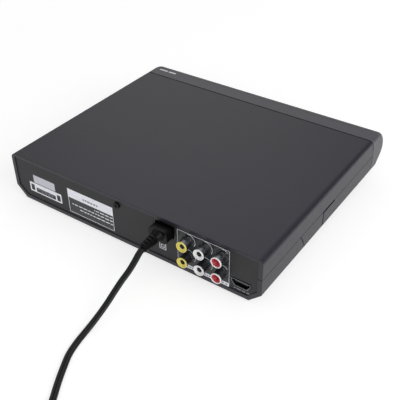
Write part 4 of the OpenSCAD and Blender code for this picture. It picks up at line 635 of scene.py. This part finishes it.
def jack_linings():
    """The rim over the end of each phono socket's barrel, and the sleeve with its sprung contact that
    lines the bore."""
    rim = [(3.5, 104.4), (3.5, 105.15), (3.62, 105.3), (4.05, 105.3), (4.2, 105.15), (4.2, 104.4)]
    sleeve = [(1.69, 97.2), (1.69, 104.35), (1.45, 104.2), (1.4, 97.6), (0.05, 97.5), (0.05, 97.2)]
    turned_in_sockets("jack_rims_yellow", JACK_X[:1], rim, 48, "yellow_plastic")
    turned_in_sockets("jack_rims_pale", JACK_X[1:], rim, 48, "ring_white")
    turned_in_sockets("jack_contacts_black", JACK_X[:2], sleeve, 32, "socket_black")
    turned_in_sockets("jack_contacts_red", JACK_X[2:], sleeve, 32, "red_plastic")


# ---- Prints on the bezel and the buttons ----

BEZEL_TOP_Z = 41.3
BUTTON_Y = 104                   # how far the buttons' faces stand forward of the middle


def front_prints():
    """The two short bars on top of the bezel, and the marks on the buttons."""
    laid_sheet("bezel_top_marks", [bar(88.5, -87.6, 96.6, -85.8), bar(98, -87.6, 107, -85.8)], 0.01,
               BEZEL_TOP_Z, WHITE_INK, "top", "front_bezel")
    marks = {
        "power_button": [arc_band(-103.5, 24.3, 1.7, 2.15, -235, 55, 24), bar(-103.72, 24.6, -103.28, 26.9)],
        "open_button": [[(-63.5, 19.2), (-60.5, 19.2), (-62, 21)], bar(-63.5, 18, -60.5, 18.6)],
        "play_button": [[(-50.9, 17.8), (-50.9, 20.8), (-48.5, 19.3)]],
        "stop_button": [bar(-39.2, 18.1, -36.8, 20.5)],
    }
    for button, outlines in marks.items():
        laid_sheet(button + "_mark", outlines, 0.02, BUTTON_Y, WHITE_INK, "front", button, button)


rating_stickers()
spec_label()
jack_label()
socket_prints()
jack_linings()
front_prints()


# ---- Floor, light and air ----

# The floor's own shade shows near the player, and fades out between these distances in metres.
SHADE_NEAR, SHADE_FAR = 0.4, 1.5


def floor_paint():
    """Matt white paint, lit to white where it is seen, so that half of the player's shade stays on it."""
    paint = bpy.data.materials.new("pale_floor_paint")
    paint.use_nodes = True
    tree = paint.node_tree
    tree.nodes.clear()
    seen = add(tree, "ShaderNodeLightPath")
    either = add(tree, "ShaderNodeMath", None, {0: seen.outputs["Is Camera Ray"],
                                               1: seen.outputs["Is Glossy Ray"]}, operation="ADD")
    any_seen = add(tree, "ShaderNodeMath", None, {0: either.outputs["Value"],
                                                 1: seen.outputs["Is Transmission Ray"]}, operation="ADD")
    away = add(tree, "ShaderNodeVectorMath", None,
               {0: add(tree, "ShaderNodeTexCoord").outputs["Object"]}, operation="LENGTH")
    fading = add(tree, "ShaderNodeMapRange",
                 {"From Min": SHADE_NEAR, "From Max": SHADE_FAR, "To Min": 0.5, "To Max": 1.0},
                 {"Value": away.outputs["Value"]})
    glow = add(tree, "ShaderNodeMapRange",
               {"From Min": SHADE_NEAR, "From Max": SHADE_FAR, "To Min": 1.25, "To Max": 1.0},
               {"Value": away.outputs["Value"]})
    share = add(tree, "ShaderNodeMath", None, {0: any_seen.outputs["Value"], 1: fading.outputs["Result"]},
                operation="MULTIPLY", use_clamp=True)
    matt = add(tree, "ShaderNodeBsdfDiffuse", {"Color": linear("#fafafa")})
    white = add(tree, "ShaderNodeEmission", {"Color": (1, 1, 1, 1)}, {"Strength": glow.outputs["Result"]})
    blend = add(tree, "ShaderNodeMixShader", None, {0: share.outputs["Value"], 1: matt.outputs["BSDF"],
                                                    2: white.outputs["Emission"]})
    add(tree, "ShaderNodeOutputMaterial", None, {"Surface": blend.outputs["Shader"]})
    return paint


def lay_floor():
    """A plain pale floor, six metres each way from the player."""
    form = bmesh.new()
    bmesh.ops.create_grid(form, x_segments=1, y_segments=1, size=6)
    mesh = bpy.data.meshes.new("floor")
    form.to_mesh(mesh)
    form.free()
    mesh.materials.append(floor_paint())
    floor = bpy.data.objects.new("floor", mesh)
    bpy.context.scene.collection.objects.link(floor)


def fill_air():
    """White beyond the floor. As glossy faces see it, the studio has dim walls and a ceiling that is
    bright over the player's front."""
    world = bpy.data.worlds.new("studio_air")
    bpy.context.scene.world = world
    world.use_nodes = True
    tree = world.node_tree
    tree.nodes.clear()
    seen = add(tree, "ShaderNodeLightPath")
    sky = add(tree, "ShaderNodeTexCoord").outputs["Generated"]
    outwards = add(tree, "ShaderNodeSeparateXYZ", None, {"Vector": sky})
    height = add(tree, "ShaderNodeMapRange",
                 {"From Min": 0.15, "From Max": 0.75, "To Min": 0.0, "To Max": 1.15},
                 {"Value": outwards.outputs["Z"]})
    ahead = add(tree, "ShaderNodeVectorMath", {1: (0.57, -0.82, 0.0)}, {0: sky}, operation="DOT_PRODUCT")
    front = add(tree, "ShaderNodeMapRange", {"From Min": 0.0, "From Max": 0.7, "To Min": 0.2, "To Max": 1.0},
                {"Value": ahead.outputs["Value"]})
    room = add(tree, "ShaderNodeMath", None, {0: height.outputs["Result"], 1: front.outputs["Result"]},
               operation="MULTIPLY")
    mirrored = add(tree, "ShaderNodeMix", {NUMBER_A: 0.5},
                   {FACTOR: seen.outputs["Is Glossy Ray"], NUMBER_B: room.outputs["Value"]})
    clear = add(tree, "ShaderNodeMath", None, {0: seen.outputs["Is Camera Ray"],
                                              1: seen.outputs["Is Transmission Ray"]}, operation="MAXIMUM")
    strength = add(tree, "ShaderNodeMix", {NUMBER_B: 1.0},
                   {FACTOR: clear.outputs["Value"], NUMBER_A: mirrored.outputs[NUMBER_OUT]})
    air = add(tree, "ShaderNodeBackground", {"Color": (1, 1, 1, 1)},
              {"Strength": strength.outputs[NUMBER_OUT]})
    add(tree, "ShaderNodeOutputWorld", None, {"Surface": air.outputs["Background"]})


def hang_lamps():
    """Three large soft lamps, aimed at the middle of the player. Watts, width in metres, and place."""
    middle = Vector((0, 0, 0.02))
    for name, power, size, at in (("side_softbox", 25, 2.0, (-1.8, 0.2, 0.9)),
                                  ("rear_softbox", 14, 1.8, (-0.9, 1.6, 0.9)),
                                  ("front_softbox", 2.5, 1.2, (1.2, -1.6, 1.3))):
        lamp = bpy.data.objects.new(name, bpy.data.lights.new(name, "AREA"))
        lamp.data.shape = "SQUARE"
        lamp.data.size = size
        lamp.data.energy = power
        lamp.location = at
        lamp.rotation_euler = (middle - Vector(at)).to_track_quat("-Z", "Y").to_euler()
        bpy.context.scene.collection.objects.link(lamp)


lay_floor()
fill_air()
hang_lamps()
bpy.context.scene.view_settings.view_transform = "Standard"
